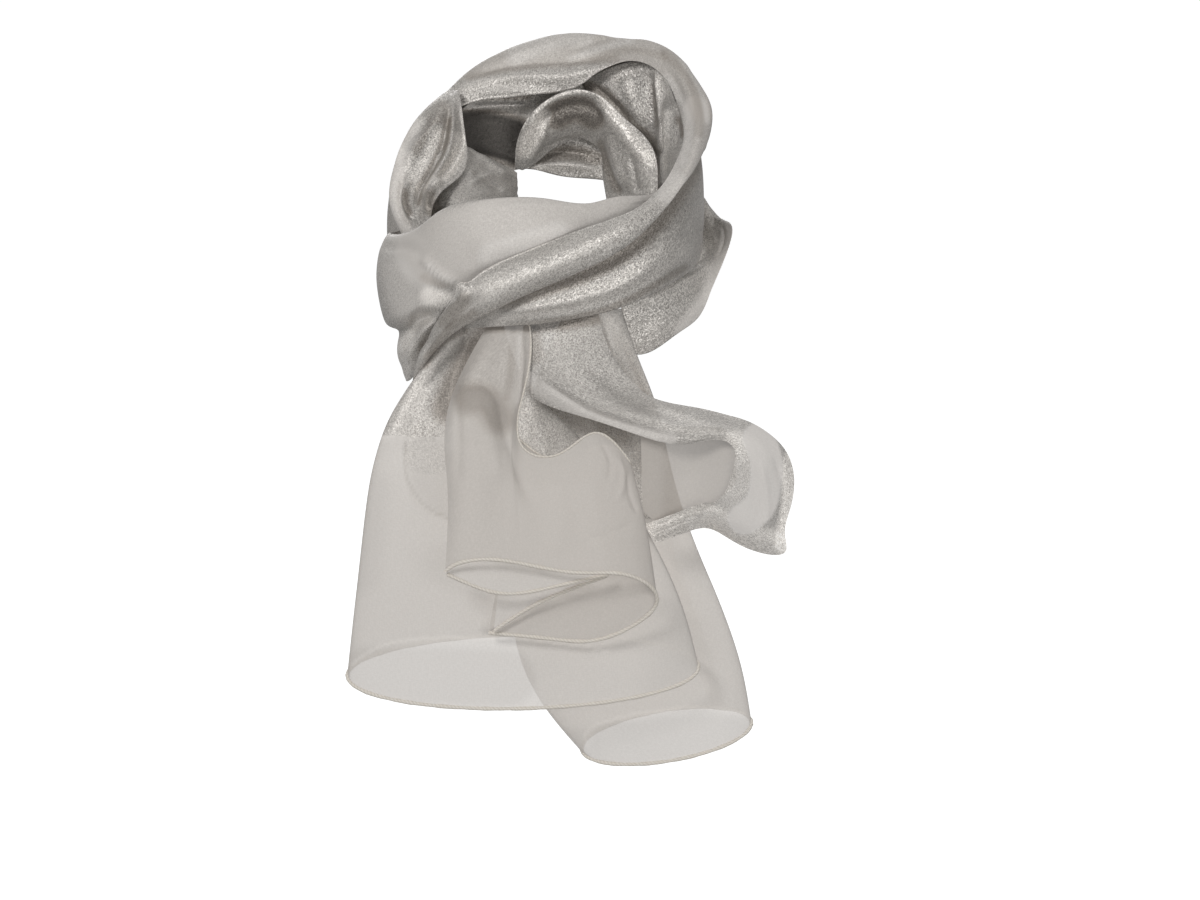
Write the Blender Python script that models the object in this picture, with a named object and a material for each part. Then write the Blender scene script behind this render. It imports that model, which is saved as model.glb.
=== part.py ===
"""A shimmering organza scarf, wound twice round an absent neck and knotted at the front.

The cloth is one long rectangle with plain sheer ends. Each stretch of it that shows is one thin wall.
Sizes in the tables are centimetres. y is the depth, away from the viewer. x and h are the place to the
right and up at which the front view shows a point, from VIEW_FROM away and VIEW_DEG above level.
"""

import math

import bpy
import numpy as np

CM = 0.01
WALL = 0.12
NECK_X = 0.8
VIEW_DEG = 8.0
VIEW_FROM = 300.0
VIEW_X = 3.5
VIEW_H = -18.2

NECK_AXIS = np.array([NECK_X, 0.0])
TOWARDS_VIEWER = np.array([0.0, -1.0, 0.0])

# Cloth folded over: where along the leg that shows its puff starts and ends, and how full it is there.
# Then the same for the hidden leg, which sags the other way.
PUFF_START = 0.38
PUFF_END = 0.78
PUFF_FULL = 0.9
HIDDEN_SAG_AT = 0.30
HIDDEN_SAG = 0.25

# A wrapped end: where round the tube its outer side edge lies, how far round the cloth goes, and how far
# inside the outer layer the last fifth of the cloth is tucked
WRAP_START_DEG = -58.0
WRAP_TURN_DEG = 376.0
WRAP_TUCK = 0.32
TUCK_FROM = 0.8

# A fold fades in and out over this share of its length, and reaches a little beyond its ends
FOLD_FADE = 0.3
FOLD_REACH = 0.02

SHIMMER = (0.47, 0.44, 0.41, 1.0)
SHEER = (0.66, 0.63, 0.60, 1.0)


# Smooth curves and surfaces

def spline(knots, values, at):
    """A natural cubic spline through values, one row for each knot, read at the places in at."""
    knots = np.asarray(knots, float)
    values = np.asarray(values, float)
    count = len(knots)
    if count == 2:
        share = ((at - knots[0]) / (knots[1] - knots[0]))[:, None]
        return values[0] + share * (values[1] - values[0])
    step = np.diff(knots)
    system = np.eye(count)
    right = np.zeros_like(values)
    for i in range(1, count - 1):
        system[i, i - 1] = step[i - 1]
        system[i, i] = 2 * (step[i - 1] + step[i])
        system[i, i + 1] = step[i]
        rise = (values[i + 1] - values[i]) / step[i]
        fall = (values[i] - values[i - 1]) / step[i - 1]
        right[i] = 6 * (rise - fall)
    bend = np.linalg.solve(system, right)
    span = np.clip(np.searchsorted(knots, at, side="right") - 1, 0, count - 2)
    width = step[span][:, None]
    after = (at - knots[span])[:, None]
    before = width - after
    curve = (bend[span] * before**3 + bend[span + 1] * after**3) / (6 * width)
    low = (values[span] / width - bend[span] * width / 6) * before
    high = (values[span + 1] / width - bend[span + 1] * width / 6) * after
    return curve + low + high


def spacing(points):
    """Knots from 0 to 1 for rows of points, spread by the mean distance between one row and the next."""
    steps = np.linalg.norm(np.diff(points, axis=0), axis=-1)
    steps = steps.reshape(len(steps), -1).mean(axis=1)
    return np.concatenate([[0.0], np.cumsum(steps)]) / steps.sum()


def through_sections(sections, along, across):
    """A grid of points on the smooth surface through sections, each a row of the same number of points."""
    sections = np.asarray(sections, float)
    rows, points = sections.shape[:2]
    knots = spacing(sections)
    grid = spline(knots, sections.reshape(rows, -1), np.linspace(0, 1, along + 1))
    grid = grid.reshape(along + 1, points, 3)
    knots = spacing(sections.transpose(1, 0, 2))
    columns = grid.transpose(1, 0, 2).reshape(points, -1)
    grid = spline(knots, columns, np.linspace(0, 1, across + 1))
    return grid.reshape(across + 1, along + 1, 3).transpose(1, 0, 2)


def normals(grid):
    """Unit normals of a grid of points."""
    along = np.gradient(grid, axis=0)
    across = np.gradient(grid, axis=1)
    normal = np.cross(along, across)
    return normal / np.maximum(np.linalg.norm(normal, axis=-1, keepdims=True), 1e-9)


def away_from_neck(grid):
    """Level unit vectors that point away from the neck's axis."""
    away = grid[..., :2] - NECK_AXIS
    away = away / np.maximum(np.linalg.norm(away, axis=-1, keepdims=True), 1e-9)
    return np.concatenate([away, np.zeros_like(away[..., :1])], axis=-1)


def ramp(value, low, high):
    """0 below low, 1 above high and a smooth step between."""
    share = np.clip((value - low) / (high - low), 0, 1)
    return share * share * (3 - 2 * share)


def creased(grid, folds, outward):
    """The grid with soft ridges and troughs raised along its normals.

    A fold's row is: start and end along the stretch, its place across at the start and at the end,
    half its width as a share of the stretch, and its height in centimetres, negative for a trough.
    """
    if not folds:
        return grid
    normal = normals(grid)
    if (normal * outward).sum() < 0:
        normal = -normal
    along = np.linspace(0, 1, grid.shape[0])[:, None]
    across = np.linspace(0, 1, grid.shape[1])[None, :]
    raised = np.zeros(grid.shape[:2])
    for start, end, place, last_place, half_width, height in folds:
        share = np.clip((along - start) / (end - start), 0, 1)
        middle = place + (last_place - place) * share
        fade = FOLD_FADE * (end - start)
        fade_in = ramp(along, start - FOLD_REACH, start + fade)
        fade_out = 1 - ramp(along, end - fade, end + FOLD_REACH)
        strength = fade_in * fade_out
        raised = raised + height * strength * np.exp(-(((across - middle) / half_width) ** 2))
    return grid + normal * raised[..., None]


# Ways in which a stretch lies

def band(rows, along, across, folds=(), peak=0.5, outward=None):
    """A band of cloth. A row is x, y, h of its upper edge, the same of its lower edge, and its crown.
    peak is how far down the band its crown is highest."""
    rows = np.asarray(rows, float)
    knots = spacing(rows[:, None, :6].reshape(len(rows), 2, 3))
    rows = spline(knots, rows, np.linspace(0, 1, along + 1))
    share = np.linspace(0, 1, across + 1)[None, :, None]
    grid = rows[:, None, 0:3] * (1 - share) + rows[:, None, 3:6] * share
    out = away_from_neck(grid) if outward is None else np.broadcast_to(outward, grid.shape)
    power = math.log(0.5) / math.log(peak)
    grid = grid + out * rows[:, None, 6:7] * np.sin(math.pi * share**power)
    return creased(grid, folds, out)


def folded_over(rows, along, across, folds=(), outward=None):
    """Cloth folded over lengthways. A row is x, y, h of its free edge, of the fold's crest and of the
    hidden edge, and the puff of the leg that shows."""
    sections = []
    for row in np.asarray(rows, float):
        free, crest, hidden, puff = row[0:3], row[3:6], row[6:9], row[9]
        leg = (crest - free) / np.linalg.norm(crest - free)
        away = (free + crest) / 2 - hidden
        away = away - leg * (away @ leg)
        away = away / np.linalg.norm(away)
        sections.append(
            [
                free,
                free + PUFF_START * (crest - free) + PUFF_FULL * puff * away,
                free + PUFF_END * (crest - free) + PUFF_FULL * puff * away,
                crest,
                crest + HIDDEN_SAG_AT * (hidden - crest) - HIDDEN_SAG * puff * away,
                hidden,
            ]
        )
    grid = through_sections(sections, along, across)
    out = away_from_neck(grid) if outward is None else np.broadcast_to(outward, grid.shape)
    return creased(grid, folds, out)


def wrapped(rows, along, across, folds=()):
    """A hanging end, wrapped into a flat tube: one side edge is tucked inside the other at the back.

    A row is the height of its middle, x of its left and right sides, y of its middle, half its depth,
    how far its front hangs below its middle, and how far its right side lies above its middle.
    """
    rows = np.asarray(rows, float)
    knots = spacing(np.stack([rows[:, 1], rows[:, 3], rows[:, 0]], axis=1)[:, None, :])
    rows = spline(knots, rows, np.linspace(0, 1, along + 1))
    share = np.linspace(0, 1, across + 1)[None, :]
    turn = np.radians(WRAP_START_DEG + WRAP_TURN_DEG * share)
    height, left, right, middle, depth, drop, rise = (rows[:, i : i + 1] for i in range(7))
    side, front = np.cos(turn), -np.sin(turn)
    inward = WRAP_TUCK * ramp(share, TUCK_FROM, 1.0)
    grid = np.stack(
        [
            (left + right) / 2 + ((right - left) / 2 - inward) * side,
            middle + (depth - inward) * front,
            height + drop * front + rise * side,
        ],
        axis=-1,
    )
    centre = np.stack([(left + right) / 2 + 0 * side, middle + 0 * side, grid[..., 2]], axis=-1)
    return creased(grid, folds, grid - centre)


# Turning a surface into a wall

def in_frame(grid):
    """Points in metres in the part's frame, whose origin is the neck's middle: each lies at its depth on
    the line along which the front view shows it."""
    sine, cosine = math.sin(math.radians(VIEW_DEG)), math.cos(math.radians(VIEW_DEG))
    across, depth, up = grid[..., 0] - VIEW_X, grid[..., 1], grid[..., 2] - VIEW_H
    nearness = (depth + VIEW_FROM * cosine) / (VIEW_FROM * cosine + up * sine)
    x = VIEW_X - NECK_X + nearness * across
    z = VIEW_H + VIEW_FROM * sine + nearness * (up * cosine - VIEW_FROM * sine)
    return np.stack([x, depth, z], axis=-1) * CM


def add_wall(name, grid, material):
    """A sheet with this grid of points, thickened evenly to a wall of cloth."""
    along, across = grid.shape[:2]
    points = in_frame(grid).reshape(-1, 3)
    faces = [
        (i * across + j, i * across + j + 1, (i + 1) * across + j + 1, (i + 1) * across + j)
        for i in range(along - 1)
        for j in range(across - 1)
    ]
    mesh = bpy.data.meshes.new(name)
    mesh.from_pydata(points.tolist(), [], faces)
    mesh.materials.append(material)
    mesh.shade_smooth()
    sheet = bpy.data.objects.new(name, mesh)
    bpy.context.scene.collection.objects.link(sheet)
    wall = sheet.modifiers.new("wall", "SOLIDIFY")
    wall.thickness = WALL * CM
    wall.offset = 0.0
    return sheet


def cloth(name, colour, roughness, metallic):
    material = bpy.data.materials.new(name)
    material.use_nodes = True
    shader = material.node_tree.nodes["Principled BSDF"]
    shader.inputs["Base Color"].default_value = colour
    shader.inputs["Roughness"].default_value = roughness
    shader.inputs["Metallic"].default_value = metallic
    return material


# The turns round the neck

def collar_left():
    """The left flank of the outer turn: its cloth fans down from a pinch at the back."""
    rows = [
        (-6.35, 6.7, 6.9, -6.95, 7.75, 7.1, -7.7, 7.6, 4.8, 0.0),
        (-6.1, 5.0, 5.4, -8.8, 5.4, 5.6, -9.0, 6.6, 2.6, 0.3),
        (-5.8, 3.9, 3.3, -10.15, 4.0, 3.6, -10.0, 5.2, 0.0, 0.4),
        (-6.0, 2.5, 1.3, -10.95, 2.4, 1.4, -10.1, 3.8, -2.0, 0.4),
        (-7.7, 0.3, -0.3, -11.15, 0.8, -0.9, -9.8, 2.2, -4.0, 0.3),
        (-8.4, -2.2, -2.4, -10.3, -0.9, -3.1, -9.2, 0.6, -5.4, 0.25),
        (-8.5, -3.3, -4.4, -9.6, -2.4, -5.0, -9.0, -1.2, -6.9, 0.15),
    ]
    folds = [
        (0.0, 0.8, 0.14, 0.10, 0.07, 0.45),
        (0.1, 1.0, 0.28, 0.26, 0.05, -0.5),
        (0.15, 1.0, 0.38, 0.40, 0.06, 0.3),
        (0.05, 0.6, 0.50, 0.48, 0.05, -0.3),
    ]
    return folded_over(rows, along=14, across=14, folds=folds, outward=TOWARDS_VIEWER)


def collar_back():
    """The back of the outer turn: it stands up behind the neck and rolls inwards over its crest."""
    rows = [
        (-6.7, 7.3, 5.6, -7.2, 8.05, 6.9, -8.0, 8.6, 2.7, 0.1),
        (-5.2, 7.2, 6.2, -5.4, 8.7, 8.55, -5.6, 9.9, 2.7, 0.4),
        (-3.0, 7.2, 6.45, -3.0, 9.1, 9.8, -3.2, 10.6, 2.8, 0.5),
        (-0.8, 7.1, 6.7, -0.6, 9.1, 10.6, -0.6, 10.9, 2.8, 0.5),
        (1.4, 6.9, 7.0, 1.5, 9.0, 10.95, 1.6, 10.8, 2.8, 0.5),
        (3.3, 6.5, 8.1, 3.8, 8.5, 10.8, 4.0, 10.3, 2.6, 0.4),
        (5.2, 5.8, 9.0, 6.0, 7.5, 10.6, 6.3, 9.2, 2.4, 0.3),
        (7.1, 4.5, 8.65, 8.2, 6.0, 9.9, 8.5, 7.6, 2.2, 0.3),
        (8.3, 2.9, 7.4, 9.8, 4.1, 8.5, 9.9, 5.6, 2.2, 0.3),
        (8.9, 1.4, 6.0, 10.8, 2.1, 7.0, 10.8, 3.4, 2.8, 0.3),
    ]
    folds = [
        (0.1, 0.62, 0.16, 0.12, 0.05, 0.35),
        (0.12, 0.7, 0.27, 0.22, 0.05, -0.3),
        (0.45, 1.0, 0.33, 0.30, 0.06, 0.2),
    ]
    return folded_over(rows, along=18, across=12, folds=folds, outward=TOWARDS_VIEWER)


def front_roll():
    """The collar's roll, carried on round the right side and down across the front to the knot."""
    rows = [
        (8.93, 1.34, 5.95, 10.83, 2.03, 6.95, 10.81, 3.32, 2.8, 0.3),
        (9.3, -0.7, 4.6, 11.3, -0.2, 5.3, 10.9, 0.9, 3.4, 0.3),
        (9.3, -2.7, 3.3, 10.95, -2.7, 3.4, 10.4, -1.9, 2.8, 0.35),
        (8.7, -4.9, 1.7, 10.1, -5.1, 1.7, 9.5, -4.3, 1.9, 0.35),
        (7.9, -6.4, 0.3, 9.1, -6.9, 0.1, 8.4, -6.1, 0.4, 0.35),
        (6.6, -7.8, -1.0, 7.7, -8.4, -1.7, 7.1, -7.5, -1.2, 0.35),
        (4.5, -9.1, -1.95, 5.4, -9.8, -3.8, 5.0, -8.95, -3.1, 0.4),
        (1.5, -9.5, -3.0, 2.0, -10.4, -5.65, 1.8, -9.65, -4.9, 0.6),
        (-2.0, -9.7, -4.4, -1.5, -10.5, -7.15, -1.6, -9.68, -6.5, 0.7),
        (-5.0, -9.9, -5.9, -4.5, -10.3, -8.6, -4.6, -9.5, -8.0, 0.45),
        (-6.6, -9.5, -7.6, -6.6, -9.5, -9.8, -6.4, -8.8, -9.3, 0.35),
        (-7.7, -8.8, -9.1, -8.0, -8.6, -11.1, -7.7, -7.9, -10.7, 0.3),
        (-8.8, -7.8, -10.7, -9.2, -7.4, -12.6, -8.8, -6.9, -12.1, 0.2),
    ]
    folds = [(0.3, 0.95, 0.42, 0.42, 0.08, 0.22), (0.25, 0.9, 0.18, 0.16, 0.07, -0.12)]
    return folded_over(rows, along=26, across=10, folds=folds)


def front_upper():
    """The broad pale turn under the chin. It starts at the bulge on the left."""
    rows = [
        (-10.4, 2.8, -2.6, -9.2, 1.8, -12.0, 0.9),
        (-11.2, -0.4, -3.0, -10.0, -1.2, -13.2, 1.3),
        (-10.5, -3.5, -3.1, -9.9, -4.0, -13.2, 1.2),
        (-9.2, -5.7, -2.6, -9.11, -6.08, -11.8, 0.8),
        (-7.4, -7.1, -1.3, -7.6, -7.8, -9.6, 0.6),
        (-5.0, -8.0, -0.7, -5.3, -8.8, -7.6, 0.5),
        (-2.4, -8.4, -0.5, -2.5, -9.3, -6.2, 0.4),
        (0.0, -8.4, -0.65, 0.2, -9.3, -4.9, 0.3),
        (2.3, -8.0, -1.0, 2.6, -8.6, -3.5, 0.2),
        (4.9, -7.0, -0.45, 5.1, -7.5, -2.1, 0.15),
        (7.1, -5.5, -0.3, 7.2, -5.9, -1.1, 0.1),
        (8.2, -4.2, 0.7, 8.4, -4.5, 0.0, 0.05),
    ]
    folds = [
        (-0.02, 0.34, 0.68, 0.72, 0.08, -0.8),
        (0.05, 0.40, 0.82, 0.80, 0.06, 0.3),
        (0.05, 0.35, 0.93, 0.92, 0.03, -0.3),
        (0.35, 0.95, 0.62, 0.70, 0.16, 0.18),
    ]
    return band(rows, along=20, across=14, folds=folds, peak=0.38)


def front_lower():
    """The shimmering turn below the roll. It comes round the right side from the back."""
    rows = [
        (10.0, 3.0, 4.4, 10.2, 3.0, -3.4, 0.3),
        (10.3, 0.6, 4.2, 10.6, 0.5, -4.2, 0.3),
        (9.8, -1.7, 2.5, 10.3, -2.3, -5.1, 0.5),
        (9.0, -4.3, 0.7, 9.4, -4.9, -5.95, 0.5),
        (7.4, -6.8, -1.3, 7.6, -7.2, -7.05, 0.6),
        (5.2, -8.1, -3.1, 5.2, -8.5, -8.15, 0.5),
        (2.4, -8.8, -4.6, 2.2, -9.1, -8.95, 0.4),
        (-0.6, -9.3, -6.0, -0.8, -9.3, -9.4, 0.35),
        (-3.4, -9.0, -7.4, -3.6, -9.0, -9.55, 0.25),
        (-5.8, -8.4, -8.7, -6.0, -8.4, -9.7, 0.1),
    ]
    folds = [
        (0.35, 1.0, 0.52, 0.35, 0.14, -0.35),
        (0.30, 1.0, 0.78, 0.70, 0.12, 0.35),
        (0.10, 0.5, 0.30, 0.40, 0.10, 0.2),
    ]
    return band(rows, along=18, across=9, folds=folds)


def side_flap():
    """The end of the outermost layer, a lobe that hangs out on the right below the other turns."""
    rows = [
        (9.4, 5.8, 1.0, 9.6, 6.6, -3.4, 0.3),
        (10.3, 4.5, 0.2, 11.3, 4.8, -3.0, 0.3),
        (10.7, 3.6, -1.4, 12.3, 3.0, -2.2, 0.1),
        (10.6, 3.2, -3.2, 12.75, 1.4, -2.8, 0.1),
        (10.3, 2.2, -4.4, 12.2, 0.2, -4.8, 0.1),
        (9.6, 0.2, -5.2, 11.3, -1.2, -7.0, 0.3),
        (8.6, -2.2, -5.6, 10.3, -2.4, -9.0, 0.35),
        (7.4, -3.6, -6.6, 8.7, -3.6, -10.2, 0.4),
        (6.2, -4.8, -7.3, 6.5, -4.5, -11.5, 0.35),
        (5.0, -5.6, -7.6, 4.6, -5.2, -11.2, 0.2),
    ]
    folds = [(0.3, 0.9, 0.45, 0.5, 0.12, 0.25)]
    return band(rows, along=14, across=7, folds=folds)


def back_turn():
    """The outermost turn behind the neck. It joins the bulge on the left to the flap on the right."""
    rows = [
        (-10.4, 2.93, -2.6, -9.25, 1.93, -11.9, 0.9),
        (-11.0, 4.9, 0.2, -10.4, 4.6, -7.6, 0.7),
        (-10.0, 7.6, 2.8, -9.8, 7.2, -2.6, 0.5),
        (-7.6, 9.6, 4.8, -7.5, 9.4, 0.8, 0.4),
        (-4.3, 11.0, 5.8, -4.3, 10.8, 1.9, 0.3),
        (-0.4, 11.4, 6.0, -0.4, 11.1, 1.8, 0.2),
        (3.6, 11.0, 5.7, 3.6, 10.7, 1.6, 0.2),
        (7.0, 9.6, 4.6, 7.0, 9.4, 0.4, 0.3),
        (9.3, 7.6, 3.0, 9.4, 7.7, -1.6, 0.4),
        (9.4, 5.95, 1.0, 9.6, 6.75, -3.4, 0.3),
    ]
    return band(rows, along=22, across=6)


def inner_back():
    """The wall of cloth behind the neck, inside the roll."""
    rows = [
        (-8.98, 3.0, 1.0, -8.6, 2.4, -3.4, 0.1),
        (-8.6, 5.3, 3.2, -8.3, 4.8, -1.2, 0.2),
        (-7.1, 7.3, 4.7, -6.9, 6.9, 0.5, 0.2),
        (-5.3, 8.3, 6.4, -5.0, 7.9, 0.2, 0.3),
        (-2.6, 8.7, 7.4, -2.4, 8.3, 1.4, 0.3),
        (0.5, 8.8, 7.8, 0.6, 8.6, 1.0, 0.3),
        (3.4, 8.4, 8.2, 3.6, 8.2, 0.7, 0.3),
        (6.0, 7.4, 8.0, 6.2, 7.2, 0.0, 0.3),
        (8.4, 5.6, 7.0, 8.6, 5.4, -1.4, 0.3),
        (9.95, 3.1, 4.6, 10.15, 3.1, -3.3, 0.3),
    ]
    folds = [(0.05, 0.45, 0.24, 0.26, 0.05, -0.3), (0.3, 0.75, 0.86, 0.88, 0.06, -0.3)]
    return band(rows, along=16, across=7, folds=folds)


def inner_arch():
    """The inner turn, which arches over at the back of the neck."""
    rows = [
        (-2.45, 7.4, 1.5, -1.9, 8.2, 1.4, 0.0),
        (-2.35, 6.7, 3.2, -1.0, 8.1, 1.9, 0.3),
        (-1.5, 6.2, 5.1, -0.1, 8.0, 2.6, 0.5),
        (0.1, 5.9, 6.5, 0.8, 7.9, 3.15, 0.6),
        (2.0, 5.6, 7.05, 1.9, 7.6, 3.5, 0.6),
        (3.7, 5.0, 6.5, 2.9, 7.1, 3.3, 0.6),
        (5.1, 4.3, 5.2, 3.5, 6.5, 2.4, 0.6),
        (6.5, 3.3, 3.9, 3.65, 5.8, 1.2, 0.7),
        (7.4, 2.3, 2.4, 3.85, 5.0, -0.1, 0.7),
        (7.55, 1.5, -0.2, 4.1, 4.4, -1.5, 0.5),
    ]
    folds = [(0.55, 1.0, 0.25, 0.3, 0.14, 0.3)]
    return band(rows, along=18, across=7, folds=folds, outward=TOWARDS_VIEWER)


def inner_right():
    """The inner turn where it climbs the right side, with upright folds."""
    rows = [
        (2.3, 8.47, 7.6, 3.1, 7.97, 5.0, 0.0),
        (4.0, 7.7, 8.5, 5.0, 6.7, 2.8, 0.1),
        (5.8, 6.9, 9.0, 6.5, 5.4, 0.4, 0.2),
        (7.3, 5.6, 8.7, 7.2, 4.0, -0.8, 0.2),
        (8.2, 4.2, 7.6, 7.9, 2.0, -0.9, 0.2),
        (8.8, 2.7, 6.2, 8.3, -0.8, -0.9, 0.1),
        (9.5, 0.5, 4.2, 8.6, -3.2, -1.2, 0.0),
    ]
    return band(rows, along=14, across=8, outward=TOWARDS_VIEWER)


def nape_left():
    """A short stretch of the inner turn, low on the left of the neck."""
    rows = [
        (-8.95, 2.88, 1.05, -8.55, 2.28, -3.4, 0.0),
        (-7.7, 3.4, 2.6, -7.6, 1.2, -2.6, 0.2),
        (-5.9, 4.6, 3.1, -6.4, 1.0, -2.2, 0.4),
        (-4.6, 5.2, 2.3, -5.0, 1.2, -1.9, 0.5),
        (-3.5, 5.6, 1.8, -3.8, 2.2, -1.6, 0.4),
        (-2.8, 5.8, 1.5, -2.9, 3.2, -1.4, 0.2),
        (-2.3, 5.9, 1.2, -2.25, 4.4, -1.3, 0.05),
    ]
    return band(rows, along=8, across=5, outward=TOWARDS_VIEWER)


# The ends that hang from the knot

def tail_left():
    """The widest end, a bell of cloth that opens to the left."""
    rows = [
        (-8.9, -7.2, -3.4, -5.6, 0.6, 0.0, 0.0),
        (-11.0, -8.1, -2.8, -5.6, 0.7, 0.0, 0.0),
        (-13.5, -9.65, -1.5, -5.9, 0.9, 0.1, -0.1),
        (-16.0, -11.2, 0.8, -6.6, 1.1, 0.4, -0.1),
        (-19.5, -12.4, 4.0, -7.3, 1.4, 0.9, 0.0),
        (-24.0, -13.1, 6.8, -7.6, 1.5, 1.5, 0.1),
        (-29.0, -13.7, 9.1, -7.6, 1.6, 2.1, 0.2),
        (-33.7, -14.2, 10.4, -7.6, 1.7, 2.6, 0.3),
    ]
    folds = [
        (0.0, 0.45, 0.62, 0.64, 0.02, 0.35),
        (0.0, 0.35, 0.68, 0.72, 0.02, -0.3),
    ]
    return wrapped(rows, along=14, across=30, folds=folds)


def tail_back():
    """The longest end, behind the others and swung to the right."""
    rows = [
        (-8.3, 1.2, 5.0, -8.06, 0.5, 0.0, 0.0),
        (-11.8, -0.4, 6.2, -6.7, 0.6, 0.0, 0.0),
        (-14.6, -1.2, 7.3, -5.3, 0.7, 0.1, 0.0),
        (-19.0, -1.4, 8.4, -4.5, 0.8, 0.3, 0.0),
        (-23.5, -1.6, 9.7, -4.4, 0.9, 0.6, 0.1),
        (-28.3, -2.6, 11.5, -4.3, 1.0, 1.0, 0.3),
        (-33.0, -1.8, 13.1, -4.2, 1.1, 1.4, 0.6),
        (-38.2, 2.2, 14.1, -4.1, 1.2, 1.8, 0.9),
    ]
    return wrapped(rows, along=12, across=24)


def tail_front():
    """The end in front: it leaves the knot as a column, then opens with a rolled edge on the right."""
    top = [
        (-2.2, -9.5, -17.4), (0.8, -9.6, -18.9), (4.3, -9.5, -18.0), (5.7, -9.8, -19.2),
        (3.6, -10.3, -17.05), (0.6, -10.5, -18.5), (-1.9, -10.2, -18.0), (-2.2, -9.7, -15.5),
        (-1.4, -8.9, -11.9), (-1.7, -8.2, -9.0), (-2.9, -8.1, -8.8), (-4.1, -7.9, -9.0),
    ]
    high = [
        (-2.7, -9.6, -20.6), (0.6, -9.7, -21.6), (4.2, -9.7, -21.2), (6.35, -10.2, -21.8),
        (4.2, -10.9, -19.4), (0.8, -11.1, -20.4), (-1.8, -11.0, -19.9), (-2.6, -10.6, -17.2),
        (-3.1, -10.2, -14.6), (-4.5, -10.3, -13.7), (-6.0, -10.2, -13.9), (-6.95, -9.6, -14.6),
    ]
    low = [
        (-3.4, -9.9, -25.6), (0.4, -9.9, -26.4), (4.4, -10.0, -26.0), (7.0, -10.6, -25.4),
        (4.9, -11.5, -23.1), (1.4, -11.9, -23.4), (-1.4, -12.0, -23.0), (-2.6, -11.7, -21.2),
        (-3.8, -11.6, -19.8), (-5.2, -11.8, -19.4), (-6.4, -11.7, -19.7), (-7.2, -11.2, -20.5),
    ]
    hem = [
        (-4.3, -10.3, -31.0), (0.3, -10.2, -31.45), (4.6, -10.3, -31.1), (7.45, -11.1, -29.0),
        (5.6, -12.3, -27.0), (2.0, -12.8, -26.8), (-1.0, -12.9, -26.35), (-2.8, -13.0, -26.0),
        (-4.4, -13.1, -25.85), (-5.6, -13.1, -25.95), (-6.6, -13.0, -26.2), (-7.35, -12.8, -26.7),
    ]
    return through_sections([top, high, low, hem], along=14, across=26)


def tail_pleat():
    """The pleat folded inwards behind the left side of the front end."""
    top = [
        (-6.9, -10.9, -19.5), (-4.4, -11.0, -20.0), (0.4, -10.9, -20.6), (3.0, -10.7, -20.4),
        (0.4, -10.5, -20.7), (-2.4, -10.4, -21.0),
    ]
    hem = [
        (-7.2, -12.5, -26.9), (-4.4, -12.3, -28.05), (0.6, -12.0, -27.7), (4.1, -11.6, -26.95),
        (0.4, -11.1, -28.35), (-3.2, -10.85, -30.7),
    ]
    return through_sections([top, hem], along=5, across=18)


def tail_right():
    """The end that sweeps out to the right and curls down and back under itself."""
    rows = [
        (3.4, -8.77, -8.5, -1.8, -8.07, -9.2, 0.0),
        (4.0, -8.5, -10.8, -2.1, -8.34, -12.1, 0.7),
        (5.3, -8.4, -12.9, -1.4, -8.7, -14.3, 0.9),
        (7.3, -8.5, -14.6, 2.0, -9.4, -15.8, 0.7),
        (10.0, -8.6, -15.1, 6.0, -9.8, -17.1, 0.6),
        (12.6, -8.7, -15.75, 9.4, -10.0, -17.8, 0.6),
        (14.7, -8.7, -16.6, 11.9, -10.0, -17.5, 0.5),
        (16.4, -8.7, -18.1, 12.9, -10.0, -18.2, 0.5),
        (17.1, -8.6, -20.3, 12.8, -9.9, -19.6, 0.4),
        (16.8, -8.5, -22.4, 12.5, -9.8, -20.6, 0.3),
        (16.45, -8.4, -24.0, 12.2, -9.8, -21.2, 0.2),
        (16.5, -8.2, -25.3, 11.7, -9.7, -21.7, 0.2),
        (13.8, -8.1, -25.1, 10.9, -9.5, -21.9, 0.2),
        (11.0, -8.3, -23.7, 9.6, -9.3, -22.3, 0.15),
        (9.2, -8.6, -24.1, 8.3, -9.2, -22.8, 0.15),
        (7.4, -8.9, -24.7, 6.6, -9.1, -23.4, 0.1),
    ]
    folds = [(0.45, 0.95, 0.88, 0.80, 0.09, 0.25)]
    return band(rows, along=28, across=8, folds=folds, outward=TOWARDS_VIEWER)


def tail_gutter():
    """The sheer cloth that hangs inside the curl of the right end."""
    rows = [
        (6.3, -8.4, -15.6, 6.5, -8.9, -22.4, 0.0),
        (7.6, -8.2, -16.2, 7.4, -8.7, -23.2, 0.0),
        (9.8, -8.1, -16.6, 9.2, -8.4, -23.1, -0.2),
        (11.8, -8.6, -16.6, 11.2, -8.9, -22.2, -0.1),
        (13.1, -9.3, -17.6, 13.0, -9.77, -20.5, 0.0),
    ]
    return band(rows, along=10, across=6, outward=TOWARDS_VIEWER)


def tail_inner():
    """A short layer that shows through the left end, with a curled lower corner."""
    rows = [
        (-6.6, -4.68, -10.2, -9.6, -4.6, -17.0, 0.1),
        (-5.9, -4.68, -10.3, -10.1, -4.7, -20.3, 0.1),
        (-5.1, -4.68, -10.4, -9.0, -4.9, -22.3, 0.1),
        (-4.2, -4.6, -10.5, -6.0, -5.0, -23.2, 0.1),
        (-3.2, -4.6, -10.6, -2.6, -5.0, -23.4, 0.0),
    ]
    return band(rows, along=10, across=7, outward=TOWARDS_VIEWER)


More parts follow.
